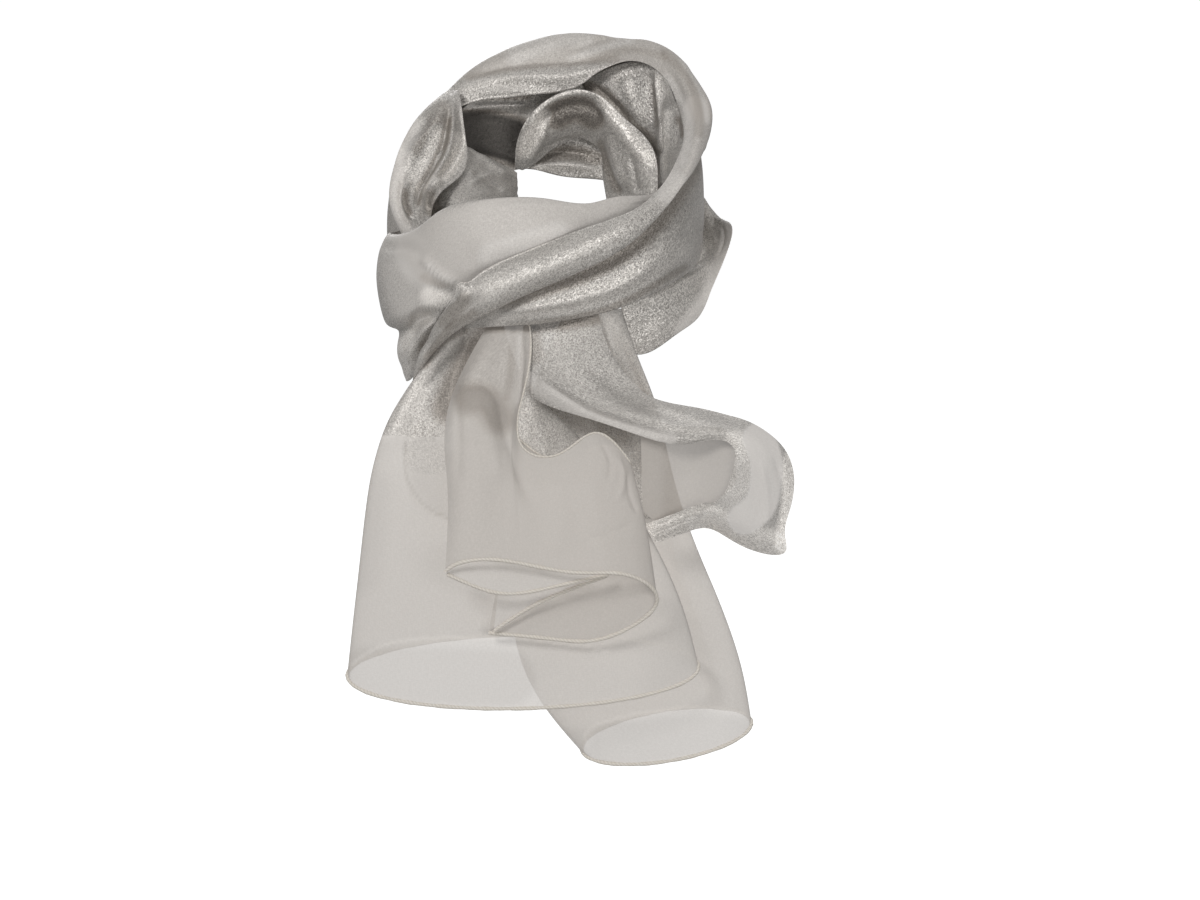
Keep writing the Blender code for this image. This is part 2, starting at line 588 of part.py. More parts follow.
STRETCHES = {
    "collar_back": (collar_back, "shimmer"),
    "collar_left": (collar_left, "shimmer"),
    "front_roll": (front_roll, "shimmer"),
    "front_upper": (front_upper, "shimmer"),
    "front_lower": (front_lower, "shimmer"),
    "side_flap": (side_flap, "shimmer"),
    "back_turn": (back_turn, "shimmer"),
    "inner_back": (inner_back, "shimmer"),
    "inner_arch": (inner_arch, "shimmer"),
    "inner_right": (inner_right, "shimmer"),
    "nape_left": (nape_left, "shimmer"),
    "tail_left": (tail_left, "sheer"),
    "tail_back": (tail_back, "sheer"),
    "tail_front": (tail_front, "sheer"),
    "tail_pleat": (tail_pleat, "sheer"),
    "tail_right": (tail_right, "shimmer"),
    "tail_gutter": (tail_gutter, "sheer"),
    "tail_inner": (tail_inner, "shimmer"),
}


def main():
    for old in list(bpy.data.objects):
        bpy.data.objects.remove(old)
    cloths = {
        "shimmer": cloth("shimmer", SHIMMER, roughness=0.45, metallic=0.4),
        "sheer": cloth("sheer", SHEER, roughness=0.7, metallic=0.0),
    }
    for name, (stretch, finish) in STRETCHES.items():
        add_wall(name, stretch(), cloths[finish])


main()
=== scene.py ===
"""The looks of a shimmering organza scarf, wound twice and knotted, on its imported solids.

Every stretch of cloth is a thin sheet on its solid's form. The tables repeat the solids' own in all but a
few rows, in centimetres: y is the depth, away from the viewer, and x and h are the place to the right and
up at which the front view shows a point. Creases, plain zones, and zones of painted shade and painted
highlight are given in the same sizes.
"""

import math

import bpy
import numpy as np
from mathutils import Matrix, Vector, noise


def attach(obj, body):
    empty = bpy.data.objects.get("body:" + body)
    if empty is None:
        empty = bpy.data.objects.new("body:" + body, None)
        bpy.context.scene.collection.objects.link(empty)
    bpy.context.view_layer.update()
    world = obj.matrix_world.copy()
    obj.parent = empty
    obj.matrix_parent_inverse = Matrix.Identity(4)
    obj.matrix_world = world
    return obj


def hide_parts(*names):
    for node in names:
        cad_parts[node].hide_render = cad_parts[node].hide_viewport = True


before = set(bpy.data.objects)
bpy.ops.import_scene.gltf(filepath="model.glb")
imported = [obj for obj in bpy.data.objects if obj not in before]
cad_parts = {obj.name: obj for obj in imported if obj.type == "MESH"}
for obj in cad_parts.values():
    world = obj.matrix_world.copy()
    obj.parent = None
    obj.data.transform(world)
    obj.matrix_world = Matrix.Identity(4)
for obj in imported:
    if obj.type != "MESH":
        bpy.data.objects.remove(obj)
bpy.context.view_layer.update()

CM = 0.01
TINY = 1e-9

# The front view and the neck's place in it
NECK_X = 0.8
VIEW_DEG = 8.0
VIEW_FROM = 300.0
VIEW_X = 3.5
VIEW_H = -18.2
VIEW_WIDE = 84.0
SENSOR_MM = 36.0
NECK_AXIS = np.array([NECK_X, 0.0])
TOWARDS_VIEWER = np.array([0.0, -1.0, 0.0])

# Cloth folded over: where the puff of the leg that shows starts and ends, and how the hidden leg sags
PUFF_START = 0.38
PUFF_END = 0.78
PUFF_FULL = 0.9
HIDDEN_SAG_AT = 0.30
HIDDEN_SAG = 0.25

# A hanging end: where its cloth starts, how far it goes round and how its last edge is tucked in
WRAP_START_DEG = -58.0
WRAP_TURN_DEG = 376.0
WRAP_TUCK = 0.32
TUCK_FROM = 0.8

# Depth windows for creases and zones on a stretch that passes in front of the neck and behind it
ANYWHERE = (-99.0, 99.0)
IN_FRONT = (-99.0, 2.0)
BEHIND = (2.5, 99.0)
FRONT_WALL = (-99.0, -8.4)
WINDOW_SOFT = 0.6
SIDE_SOFT = 0.15

# The profile of a crease, the share of its length over which it dies out, and the steps of its line
CREASE_BLUNT = 0.2
CREASE_STEEP = 1.6
CREASE_POWER = 1.4
CREASE_FADE = 0.22
LINE_STEPS = 8

# Shallow folds: how they bend, and how strong and how close the fine ones are
NOISE_BEND = 0.8
FINE_SHARE = 0.35
FINE_LONG = 2.3
FINE_SHORT = 2.7

# Rolled hems in centimetres. A swell is its size, its rate and its start along the roll.
HEM_STEP = 0.35
HEM_STEPS_LEAST = 12
HEM_SIDES = 10
HEM_ACROSS = (0.31, 0.92, 0.24)
HEM_SWELLS = [(0.10, 2.3, 0.0), (0.07, 5.9, 1.0)]
HEM_RADIUS = 0.13

# Sheets: the thickness of the turns in metres, where the weave has its middle, and the collar's light rim,
# a selvedge line with painted highlight along its free edge
RING_WALL = 0.00035
WEAVE_MIDDLE = 0.4
RIM_COLUMNS = 2
RIM_PAINTED_LIGHT = 0.3
RIM_HIGHLIGHT_BOOST = 1.6

# How much of what lies behind it the cloth hides, and how much painted shade darkens a far wall
SHIMMER_COVER = 0.86
PLAIN_COVER = 0.85
FRONT_COVER = 0.85
HEM_COVER = 0.85
COVER_SOFT = 0.2
FAR_WALL_PAINTED_SHADE = 0.16

# Colours
WHITE = (1.0, 1.0, 1.0, 1.0)
SHIMMER_DARK = (0.22, 0.205, 0.19, 1.0)
SHIMMER_LIGHT = (0.68, 0.65, 0.61, 1.0)
SHIMMER_CLOUD = (0.30, 0.28, 0.26, 1.0)
PLAIN_DARK = (0.54, 0.512, 0.482, 1.0)
PLAIN_LIGHT = (0.59, 0.562, 0.532, 1.0)
HEM_DARK = (0.60, 0.56, 0.50, 1.0)
HEM_LIGHT = (0.72, 0.68, 0.62, 1.0)
HEM_WARM = (0.64, 0.58, 0.50, 1.0)
# Painted shade turns warmer, fully so at SHADE_TONE
SHADE_WARM = (1.0, 0.95, 0.90, 1.0)
SHADE_TONE = -0.4
FLOOR_GREY = (0.4, 0.4, 0.4, 1.0)

# The cloth: its patterns' scales for each metre, its metal threads and its gloss
THREAD = 628.0
GLINT = 1500.0
GLINT_TILT = 0.16
WEFT_STREAKS = (420.0, 1300.0, 1.0)
WARP_STREAKS = (1300.0, 400.0, 1.0)
CLOUD = 60.0
HEM_THREAD = 230.0
HEM_CLOUD = 160.0
METAL = 0.5
DULL_ROUGH = 0.54
GLOSSY_ROUGH = 0.36
PLAIN_ROUGH = (0.62, 0.62, 0.62, 1.0)
EDGE_SOFT = 0.04
WEAVE_DEPTH = 0.00025
HEM_DEPTH = 0.0002

# The studio, in metres and watts. A light is its name, its place, its size and its power.
WORLD_STRENGTH = 0.36
FLOOR_Z = -0.62
FLOOR_HALF = 40.0
FLOOR_GLOW = 0.88
SEE_THROUGH_LAYERS = 40
LIGHTS = [
    ("key", (-1.2, -2.5, 1.4), (0.8, 0.8), 42.0),
    ("fill", (1.1, -2.8, -0.1), (1.2, 1.2), 28.0),
    ("top", (0.3, 0.2, 2.4), (1.2, 1.2), 7.0),
    ("behind", (-0.8, 2.6, 1.2), (1.6, 1.2), 22.0),
]


# Smooth curves and surfaces, as in the solids

def spline(knots, values, at):
    """A natural cubic spline through values, one row for each knot, read at the places in at."""
    knots = np.asarray(knots, float)
    values = np.asarray(values, float)
    count = len(knots)
    if count == 2:
        share = ((at - knots[0]) / (knots[1] - knots[0]))[:, None]
        return values[0] + share * (values[1] - values[0])
    step = np.diff(knots)
    system = np.eye(count)
    right = np.zeros_like(values)
    for i in range(1, count - 1):
        system[i, i - 1] = step[i - 1]
        system[i, i] = 2 * (step[i - 1] + step[i])
        system[i, i + 1] = step[i]
        rise = (values[i + 1] - values[i]) / step[i]
        fall = (values[i] - values[i - 1]) / step[i - 1]
        right[i] = 6 * (rise - fall)
    bend = np.linalg.solve(system, right)
    span = np.clip(np.searchsorted(knots, at, side="right") - 1, 0, count - 2)
    width = step[span][:, None]
    after = (at - knots[span])[:, None]
    before = width - after
    curve = (bend[span] * before**3 + bend[span + 1] * after**3) / (6 * width)
    low = (values[span] / width - bend[span] * width / 6) * before
    high = (values[span + 1] / width - bend[span + 1] * width / 6) * after
    return curve + low + high


def spacing(points):
    """Knots from 0 to 1 for rows of points, spread by the mean distance between one row and the next."""
    steps = np.linalg.norm(np.diff(points, axis=0), axis=-1)
    steps = steps.reshape(len(steps), -1).mean(axis=1)
    return np.concatenate([[0.0], np.cumsum(steps)]) / steps.sum()


def through_sections(sections, along, across):
    """A grid of points on the smooth surface through sections, each a row of the same number of points."""
    sections = np.asarray(sections, float)
    rows, points = sections.shape[:2]
    knots = spacing(sections)
    grid = spline(knots, sections.reshape(rows, -1), np.linspace(0, 1, along + 1))
    grid = grid.reshape(along + 1, points, 3)
    knots = spacing(sections.transpose(1, 0, 2))
    columns = grid.transpose(1, 0, 2).reshape(points, -1)
    grid = spline(knots, columns, np.linspace(0, 1, across + 1))
    return grid.reshape(across + 1, along + 1, 3).transpose(1, 0, 2)


def unit(vectors):
    """Vectors of length one with the same directions."""
    return vectors / np.maximum(np.linalg.norm(vectors, axis=-1, keepdims=True), TINY)


def normals(grid):
    """Unit normals of a grid of points."""
    return unit(np.cross(np.gradient(grid, axis=0), np.gradient(grid, axis=1)))


def away_from_neck(grid):
    """Level unit vectors that point away from the neck's axis."""
    away = unit(grid[..., :2] - NECK_AXIS)
    return np.concatenate([away, np.zeros_like(away[..., :1])], axis=-1)


def ramp(value, low, high):
    """0 below low, 1 above high and a smooth step between."""
    share = np.clip((value - low) / (high - low), 0, 1)
    return share * share * (3 - 2 * share)


def band(rows, along, across, peak=0.5, outward=None):
    """A band of cloth. A row is x, y, h of its upper edge, the same of its lower edge, and its crown.
    peak is where across the band the crown is highest, one for all rows or one for each."""
    rows = np.asarray(rows, float)
    peaks = np.broadcast_to(peak, len(rows))[:, None]
    knots = spacing(rows[:, None, :6].reshape(len(rows), 2, 3))
    rows = spline(knots, np.hstack([rows, peaks]), np.linspace(0, 1, along + 1))
    share = np.linspace(0, 1, across + 1)[None, :, None]
    grid = rows[:, None, 0:3] * (1 - share) + rows[:, None, 3:6] * share
    out = away_from_neck(grid) if outward is None else np.broadcast_to(outward, grid.shape)
    power = math.log(0.5) / np.log(rows[:, None, 7:8])
    return grid + out * rows[:, None, 6:7] * np.sin(math.pi * share**power)


def folded_over(rows, along, across):
    """Cloth folded over lengthways. A row is x, y, h of its free edge, of the fold's crest and of the
    hidden edge, and the puff of the leg that shows."""
    sections = []
    for row in np.asarray(rows, float):
        free, crest, hidden, puff = row[0:3], row[3:6], row[6:9], row[9]
        leg = (crest - free) / np.linalg.norm(crest - free)
        away = (free + crest) / 2 - hidden
        away = away - leg * (away @ leg)
        away = away / np.linalg.norm(away)
        sections.append(
            [
                free,
                free + PUFF_START * (crest - free) + PUFF_FULL * puff * away,
                free + PUFF_END * (crest - free) + PUFF_FULL * puff * away,
                crest,
                crest + HIDDEN_SAG_AT * (hidden - crest) - HIDDEN_SAG * puff * away,
                hidden,
            ]
        )
    return through_sections(sections, along, across)


def wrapped(rows, along, across):
    """A hanging end, wrapped into a flat tube: one side edge is tucked inside the other at the back.

    A row is the height of its middle, x of its left and right sides, y of its middle, half its depth,
    how far its front hangs below its middle, and how far its right side lies above its middle.
    """
    rows = np.asarray(rows, float)
    knots = spacing(np.stack([rows[:, 1], rows[:, 3], rows[:, 0]], axis=1)[:, None, :])
    rows = spline(knots, rows, np.linspace(0, 1, along + 1))
    turn = np.radians(WRAP_START_DEG + np.linspace(0, WRAP_TURN_DEG, across + 1))[None, :]
    share = (turn - turn.min()) / math.radians(WRAP_TURN_DEG)
    height, left, right, middle, depth, drop, rise = (rows[:, i : i + 1] for i in range(7))
    side, front = np.cos(turn), -np.sin(turn)
    inward = WRAP_TUCK * ramp(share, TUCK_FROM, 1.0)
    return np.stack(
        [
            (left + right) / 2 + ((right - left) / 2 - inward) * side,
            middle + (depth - inward) * front,
            height + drop * front + rise * side,
        ],
        axis=-1,
    )


def in_frame(grid):
    """Points in metres in the part's frame, whose origin is the neck's middle: each lies at its depth on
    the line along which the front view shows it."""
    sine, cosine = math.sin(math.radians(VIEW_DEG)), math.cos(math.radians(VIEW_DEG))
    across, depth, up = grid[..., 0] - VIEW_X, grid[..., 1], grid[..., 2] - VIEW_H
    nearness = (depth + VIEW_FROM * cosine) / (VIEW_FROM * cosine + up * sine)
    x = VIEW_X - NECK_X + nearness * across
    z = VIEW_H + VIEW_FROM * sine + nearness * (up * cosine - VIEW_FROM * sine)
    return np.stack([x, depth, z], axis=-1) * CM


# Creases, zones and unevenness

def beside(grid, points):
    """How far each point of the grid lies beside a line of x, h points, and its share of the way along.
    The distance is positive to the right of the line's own direction."""
    points = np.asarray(points, float)
    line = spline(np.linspace(0, 1, len(points)), points, np.linspace(0, 1, LINE_STEPS * len(points)))
    place = grid[..., None, [0, 2]]
    start, step = line[:-1], np.diff(line, axis=0)
    share = ((place - start) * step).sum(-1) / (step**2).sum(-1)
    gap = place - start - step * np.clip(share, 0, 1)[..., None]
    away = np.linalg.norm(gap, axis=-1)
    nearest = away.argmin(-1)
    pick = nearest[..., None]
    away = np.take_along_axis(away, pick, -1)[..., 0]
    gap = np.take_along_axis(gap, pick[..., None], -2)[..., 0, :]
    turn = step[nearest][..., 1] * gap[..., 0] - step[nearest][..., 0] * gap[..., 1]
    reached = np.take_along_axis(np.clip(share, 0, 1), pick, -1)[..., 0]
    return np.where(turn < 0, -away, away), (nearest + reached) / len(step)


def within(grid, window):
    """1 where the grid's depth lies in the window, and a soft step to 0 outside it."""
    depth = grid[..., 1]
    first, last = window
    return ramp(depth, first - WINDOW_SOFT, first) * (1 - ramp(depth, last, last + WINDOW_SOFT))


def nearer_side(grid):
    """1 on the half of a hanging tube that faces the viewer, 0 on its far half."""
    depth = grid[..., 1]
    middle = (depth.max(axis=1, keepdims=True) + depth.min(axis=1, keepdims=True)) / 2
    return ramp(middle - depth, -SIDE_SOFT, SIDE_SOFT)


def crease(grid, points, width, height, lean=0.0, window=ANYWHERE):
    """The relief of one soft ridge, or of a trough where height is negative, along a line of x, h points.
    width is half its width at its start and at its end. lean is from -1 to 1: its right flank is wider
    where it is positive. It dies out at both ends."""
    away, share = beside(grid, points)
    half = width[0] + (width[1] - width[0]) * share
    half = half * np.where(away > 0, 1 + lean, 1 - lean)
    fade = ramp(share, 0.0, CREASE_FADE) * (1 - ramp(share, 1 - CREASE_FADE, 1.0))
    strength = fade * within(grid, window)
    rounded = np.sqrt((away / half) ** 2 + CREASE_BLUNT**2) - CREASE_BLUNT
    return height * strength * np.exp(-CREASE_STEEP * rounded**CREASE_POWER)


def zone(grid, points, width, soft, window=ANYWHERE):
    """1 within width of a line of x, h points, falling to 0 over the distance soft."""
    away, _ = beside(grid, points)
    return (1 - ramp(np.abs(away), width, width + soft)) * within(grid, window)


def pulled(grid, point, by, reach, window=ANYWHERE):
    """The grid with the cloth near an x, h point pulled by x, y and h."""
    away = np.linalg.norm(grid[..., [0, 2]] - np.array(point), axis=-1)
    strength = np.exp(-((away / reach) ** 2)) * within(grid, window)
    return grid + strength[..., None] * np.array(by)


def arc_lengths(grid):
    """Mean lengths along and across the grid up to each of its lines, in centimetres."""
    along = np.linalg.norm(np.diff(grid, axis=0), axis=-1).mean(axis=1)
    across = np.linalg.norm(np.diff(grid, axis=1), axis=-1).mean(axis=0)
    return np.concatenate([[0], np.cumsum(along)]), np.concatenate([[0], np.cumsum(across)])


def drape_noise(grid, height, long, short, seed):
    """Shallow folds that run along the stretch: long and short are their sizes in centimetres."""
    along, across = arc_lengths(grid)
    relief = np.zeros(grid.shape[:2])
    for i, u in enumerate(along):
        for j, v in enumerate(across):
            bend = NOISE_BEND * noise.noise(Vector((u / long, v / long, seed + 7.1)))
            coarse = noise.noise(Vector((u / long, v / short + bend, seed)))
            fine = Vector((FINE_LONG * u / long, FINE_SHORT * v / short + bend, seed + 3.7))
            relief[i, j] = coarse + FINE_SHARE * noise.noise(fine)
    return height * relief


# Turning a sheet into a piece

def plane_coordinates(grid):
    """The lengths in metres along the stretch, and across it from near its middle, for each point."""
    along, _ = arc_lengths(grid)
    across = np.linalg.norm(np.diff(grid, axis=1), axis=-1).cumsum(axis=1)
    across = np.concatenate([np.zeros_like(across[:, :1]), across], axis=1)
    middle = int(WEAVE_MIDDLE * across.shape[1])
    across = across - across[:, middle : middle + 1]
    return np.stack([np.broadcast_to(along[:, None], across.shape), across], axis=-1) * CM


def placed(name, data):
    """A new object in the scene."""
    thing = bpy.data.objects.new(name, data)
    bpy.context.scene.collection.objects.link(thing)
    return thing


def mesh_of(name, points, flat, attributes, material):
    """A smooth mesh object through a grid of points in metres. flat holds its UV lengths in metres."""
    along, across = points.shape[:2]
    faces = [
        (a, a + 1, a + across + 1, a + across)
        for i in range(along - 1)
        for a in range(i * across, i * across + across - 1)
    ]
    mesh = bpy.data.meshes.new(name)
    mesh.from_pydata(points.reshape(-1, 3).tolist(), [], faces)
    corners = np.zeros(len(mesh.loops), dtype=np.int32)
    mesh.loops.foreach_get("vertex_index", corners)
    layer = mesh.uv_layers.new(name="UVMap")
    layer.data.foreach_set("uv", flat.reshape(-1, 2)[corners].astype(np.float32).ravel())
    for key, values in attributes.items():
        store = mesh.attributes.new(key, "FLOAT", "POINT")
        store.data.foreach_set("value", values.astype(np.float32).ravel())
    mesh.materials.append(material)
    mesh.shade_smooth()
    return placed(name, mesh)


def sheet(name, grid, nodes, slot, reliefs, plain=0.0, cover=1.0, painted_light=0.0,
          wall=0.0, edge=-1.0):
    """One sheet of cloth: its form, its relief, its zones and what it stands for. It returns the form.

    cut is its flat width and length in metres and its area in square metres. reliefs are heights in
    reliefs are heights in centimetres for each point. plain is 0 where the cloth shimmers and 1 where it is
    plain. cover is how much it hides of what lies behind it. The lightness it is given against the rest is
    painted shade and painted highlight, with a few faint lines where hems lie behind. edge is how far a
    point lies past the crisp border of a plain end, in centimetres.
    """
    relief = np.zeros(grid.shape[:2]) + sum(reliefs)
    grid = grid + normals(grid) * relief[..., None]
    shape = grid.shape[:2]
    attributes = {
        "plain": np.clip(np.broadcast_to(plain, shape), -1, 1),
        "edge": np.clip(np.broadcast_to(edge, shape), -1, 1),
        "cover": np.clip(np.broadcast_to(cover, shape), 0, 1),
        "painted_light": np.broadcast_to(painted_light, shape),
    }
    piece = mesh_of(name, in_frame(grid), plane_coordinates(grid), attributes, MATERIALS["organza"])
    if wall:
        shell = piece.modifiers.new("wall", "SOLIDIFY")
        shell.thickness = wall
        shell.offset = 0.0
    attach(piece, "root")
    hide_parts(*nodes)
    piece.visible_shadow = slot == "shimmer_organza"
    return grid


def hem(name, path, radius=HEM_RADIUS):
    """A rolled hem: a thin, slightly uneven tube along a path of points in centimetres."""
    path = np.asarray(path, float)
    steps = np.linalg.norm(np.diff(path, axis=0), axis=-1)
    length = np.concatenate([[0], np.cumsum(steps)])
    count = max(HEM_STEPS_LEAST, int(length[-1] / HEM_STEP))
    run = np.linspace(0, length[-1], count + 1)
    line = in_frame(spline(length, path, run))
    forward = unit(np.gradient(line, axis=0))
    side = unit(np.cross(forward, HEM_ACROSS))
    up = np.cross(side, forward)
    turn = np.linspace(0, 2 * math.pi, HEM_SIDES + 1)
    swell = sum((size * np.sin(run * rate + start) for size, rate, start in HEM_SWELLS), 1.0)
    rim = np.cos(turn)[None, :, None] * side[:, None] + np.sin(turn)[None, :, None] * up[:, None]
    points = line[:, None] + radius * CM * swell[:, None, None] * rim
    flat = np.stack(np.meshgrid(run, turn * radius, indexing="ij"), axis=-1) * CM
    piece = mesh_of(name, points, flat, {}, MATERIALS["hem"])
    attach(piece, "root")
    return piece


# Materials

def new_material(name):
    material = bpy.data.materials.new(name)
    material.use_nodes = True
    tree = material.node_tree
    shader = tree.nodes["Principled BSDF"]
    return material, tree, shader


def set_inputs(tree, node, inputs):
    """Inputs of a node, each set to a value or linked to an output socket."""
    for key, value in inputs.items():
        if isinstance(value, bpy.types.NodeSocket):
            tree.links.new(value, node.inputs[key])
        else:
            node.inputs[key].default_value = value


def add_node(tree, kind, inputs, **settings):
    node = tree.nodes.new(kind)
    for key, value in settings.items():
        setattr(node, key, value)
    set_inputs(tree, node, inputs)
    return node


def mixed(tree, share, low, high, blend="MIX"):
    """The colour between low and high, each a colour or a socket."""
    node = add_node(tree, "ShaderNodeMix", {0: share, 6: low, 7: high}, data_type="RGBA",
                    blend_type=blend, clamp_factor=True)
    return node.outputs[2]


def ranged(tree, value, low, high, to_low, to_high):
    """value mapped from low..high to to_low..to_high, and held there outside."""
    node = add_node(tree, "ShaderNodeMapRange", {"Value": value, 1: low, 2: high, 3: to_low, 4: to_high})
    return node.outputs[0]


def maths(tree, operation, first, second):
    return add_node(tree, "ShaderNodeMath", {0: first, 1: second}, operation=operation).outputs[0]


def attribute(tree, name):
    node = add_node(tree, "ShaderNodeAttribute", {}, attribute_name=name, attribute_type="GEOMETRY")
    return node.outputs["Fac"]


def waves(tree, place, scale, distortion, direction, detail_scale=1.0):
    """Even bands, which stand for threads."""
    node = add_node(tree, "ShaderNodeTexWave", {"Vector": place, "Scale": scale, "Distortion": distortion,
                    "Detail": 1.0, "Detail Scale": detail_scale}, bands_direction=direction)
    return node.outputs["Fac"]


def clouds(tree, place, scale, detail=2.0, roughness=0.5):
    node = add_node(tree, "ShaderNodeTexNoise", {"Vector": place, "Scale": scale, "Detail": detail,
                    "Roughness": roughness})
    return node.outputs["Fac"]


def streaks(tree, place, scale):
    """Clouds drawn out along one set of threads."""
    stretched = add_node(tree, "ShaderNodeMapping", {"Vector": place, "Scale": scale})
    return clouds(tree, stretched.outputs[0], 1.0)


def organza():
    """Shimmering organza that turns plain and sheer by the plain attribute.

    Two crossing threads make a fine relief. Flat metal threads catch the light in small cells, streaks
    follow both threads, and the plain zone has only the fine ground weave.
    """
    material, tree, shader = new_material("organza")
    place = add_node(tree, "ShaderNodeUVMap", {}, uv_map="UVMap").outputs["UV"]
    crisp = ranged(tree, attribute(tree, "edge"), -EDGE_SOFT, EDGE_SOFT, 0.0, 1.0)
    plain = ranged(tree, maths(tree, "ADD", attribute(tree, "plain"), crisp), 0.0, 1.0, 0.0, 1.0)
    painted_light = attribute(tree, "painted_light")

    warp, weft = (waves(tree, place, THREAD, 1.2, direction, 0.4) for direction in "XY")
    weave = maths(tree, "MAXIMUM", warp, weft)
    cells = add_node(tree, "ShaderNodeTexVoronoi", {"Vector": place, "Scale": GLINT}, feature="F1")
    cells = cells.outputs["Color"]
    glint = add_node(tree, "ShaderNodeSeparateColor", {"Color": cells}).outputs[0]
    cloud = clouds(tree, place, CLOUD, 3.0, 0.6)
    streak = maths(tree, "MULTIPLY", streaks(tree, place, WEFT_STREAKS), streaks(tree, place, WARP_STREAKS))
    grain = maths(tree, "ADD", maths(tree, "MULTIPLY", glint, 0.55), maths(tree, "MULTIPLY", streak, 1.3))
    grain = ranged(tree, grain, 0.2, 0.95, 0.0, 1.0)

    shimmer = mixed(tree, grain, SHIMMER_DARK, SHIMMER_LIGHT)
    shimmer = mixed(tree, ranged(tree, cloud, 0.35, 0.65, 0.0, 0.25), shimmer, SHIMMER_CLOUD)
    ground = mixed(tree, ranged(tree, streak, 0.15, 0.38, 0.0, 1.0), PLAIN_DARK, PLAIN_LIGHT)
    colour = mixed(tree, plain, shimmer, ground)
    # The lightness attribute is painted shade and painted highlight: it scales the colour, and painted
    # shade turns warmer.
    shade = maths(tree, "ADD", painted_light, 1.0)
    shade = add_node(tree, "ShaderNodeCombineColor", {0: shade, 1: shade, 2: shade}).outputs[0]
    colour = mixed(tree, 1.0, colour, shade, "MULTIPLY")
    shade_warmth = mixed(tree, ranged(tree, painted_light, SHADE_TONE, 0.0, 1.0, 0.0), WHITE, SHADE_WARM)
    colour = mixed(tree, 1.0, colour, shade_warmth, "MULTIPLY")

    gloss = ranged(tree, grain, 0.0, 1.0, DULL_ROUGH, GLOSSY_ROUGH)
    tilt = ranged(tree, plain, 0.0, 1.0, GLINT_TILT, 0.02)
    tilt = add_node(tree, "ShaderNodeNormalMap", {"Color": cells, "Strength": tilt}, uv_map="UVMap")
    bump = add_node(tree, "ShaderNodeBump", {
        "Height": maths(tree, "ADD", maths(tree, "MULTIPLY", weave, 0.35), grain),
        "Strength": ranged(tree, plain, 0.0, 1.0, 0.45, 0.10),
        "Distance": WEAVE_DEPTH,
        "Normal": tilt.outputs[0],
    })
    set_inputs(tree, shader, {
        "Base Color": SHIMMER_LIGHT,
        "Metallic": METAL,
        "Roughness": 0.42,
        "Sheen Weight": 0.12,
        "Sheen Roughness": 0.4,
        "Specular IOR Level": 0.45,
    })
    set_inputs(tree, shader, {
        "Base Color": colour,
        "Metallic": ranged(tree, plain, 0.0, 1.0, METAL, 0.0),
        "Roughness": mixed(tree, plain, gloss, PLAIN_ROUGH),
        "Alpha": attribute(tree, "cover"),
        "Normal": bump.outputs[0],
    })
    return material


def rolled_hem():
    """The hem's tight roll of plain organza with its overcast thread."""
    material, tree, shader = new_material("rolled_hem")
    place = add_node(tree, "ShaderNodeUVMap", {}, uv_map="UVMap").outputs["UV"]
    thread = waves(tree, place, HEM_THREAD, 2.0, "DIAGONAL")
    cloud = clouds(tree, place, HEM_CLOUD)
    colour = mixed(tree, ranged(tree, thread, 0.1, 0.9, 0.0, 1.0), HEM_DARK, HEM_LIGHT)
    colour = mixed(tree, ranged(tree, cloud, 0.35, 0.7, 0.0, 0.4), colour, HEM_WARM)
    bump = add_node(tree, "ShaderNodeBump", {"Height": thread, "Strength": 0.25, "Distance": HEM_DEPTH})
    set_inputs(tree, shader, {"Base Color": HEM_LIGHT, "Roughness": 0.6, "Alpha": HEM_COVER})
    set_inputs(tree, shader, {"Base Color": colour, "Normal": bump.outputs[0]})
    return material


# Pale studio

def aim(thing, at):
    thing.rotation_mode = "QUATERNION"
    thing.rotation_quaternion = (Vector(at) - thing.location).to_track_quat("-Z", "Y")


def studio():
    """The camera of the photograph's view, the lights, the pale surroundings and the floor."""
    scene = bpy.context.scene
    tilt = math.radians(VIEW_DEG)
    back = Vector((0, -math.cos(tilt), math.sin(tilt)))
    middle = Vector(((VIEW_X - NECK_X) * CM, 0, VIEW_H * CM))
    data = bpy.data.cameras.new("camera")
    data.sensor_width = SENSOR_MM
    data.lens = SENSOR_MM * VIEW_FROM / VIEW_WIDE
    scene.camera = placed("camera", data)
    scene.camera.location = middle + back * VIEW_FROM * CM
    aim(scene.camera, middle)

    for name, place, size, watts in LIGHTS:
        data = bpy.data.lights.new(name, "AREA")
        data.shape = "RECTANGLE"
        data.size, data.size_y = size
        data.energy = watts
        light = placed(name, data)
        light.location = place
        aim(light, middle)

    world = bpy.data.worlds.new("world")
    world.use_nodes = True
    shade = {"Color": WHITE, "Strength": WORLD_STRENGTH}
    set_inputs(world.node_tree, world.node_tree.nodes["Background"], shade)
    scene.world = world
    scene.view_settings.view_transform = "Standard"
    scene.cycles.transparent_max_bounces = SEE_THROUGH_LAYERS

    mesh = bpy.data.meshes.new("floor")
    corners = [(FLOOR_HALF * x, FLOOR_HALF * y, FLOOR_Z) for x, y in ((-1, -1), (1, -1), (1, 1), (-1, 1))]
    mesh.from_pydata(corners, [], [(0, 1, 2, 3)])
    material, tree, shader = new_material("floor")
    set_inputs(tree, shader, {"Base Color": FLOOR_GREY, "Roughness": 0.9, "Emission Color": WHITE,
                              "Emission Strength": FLOOR_GLOW})
    mesh.materials.append(material)
    floor = placed("floor", mesh)
    floor.visible_diffuse = False
    floor.visible_glossy = False


# Tables of where the stretches lie, as in the solids but for the lower ends of the roll, of the lobe
# beside it and of the pleat. A row is what folded_over, band, wrapped or through_sections reads.

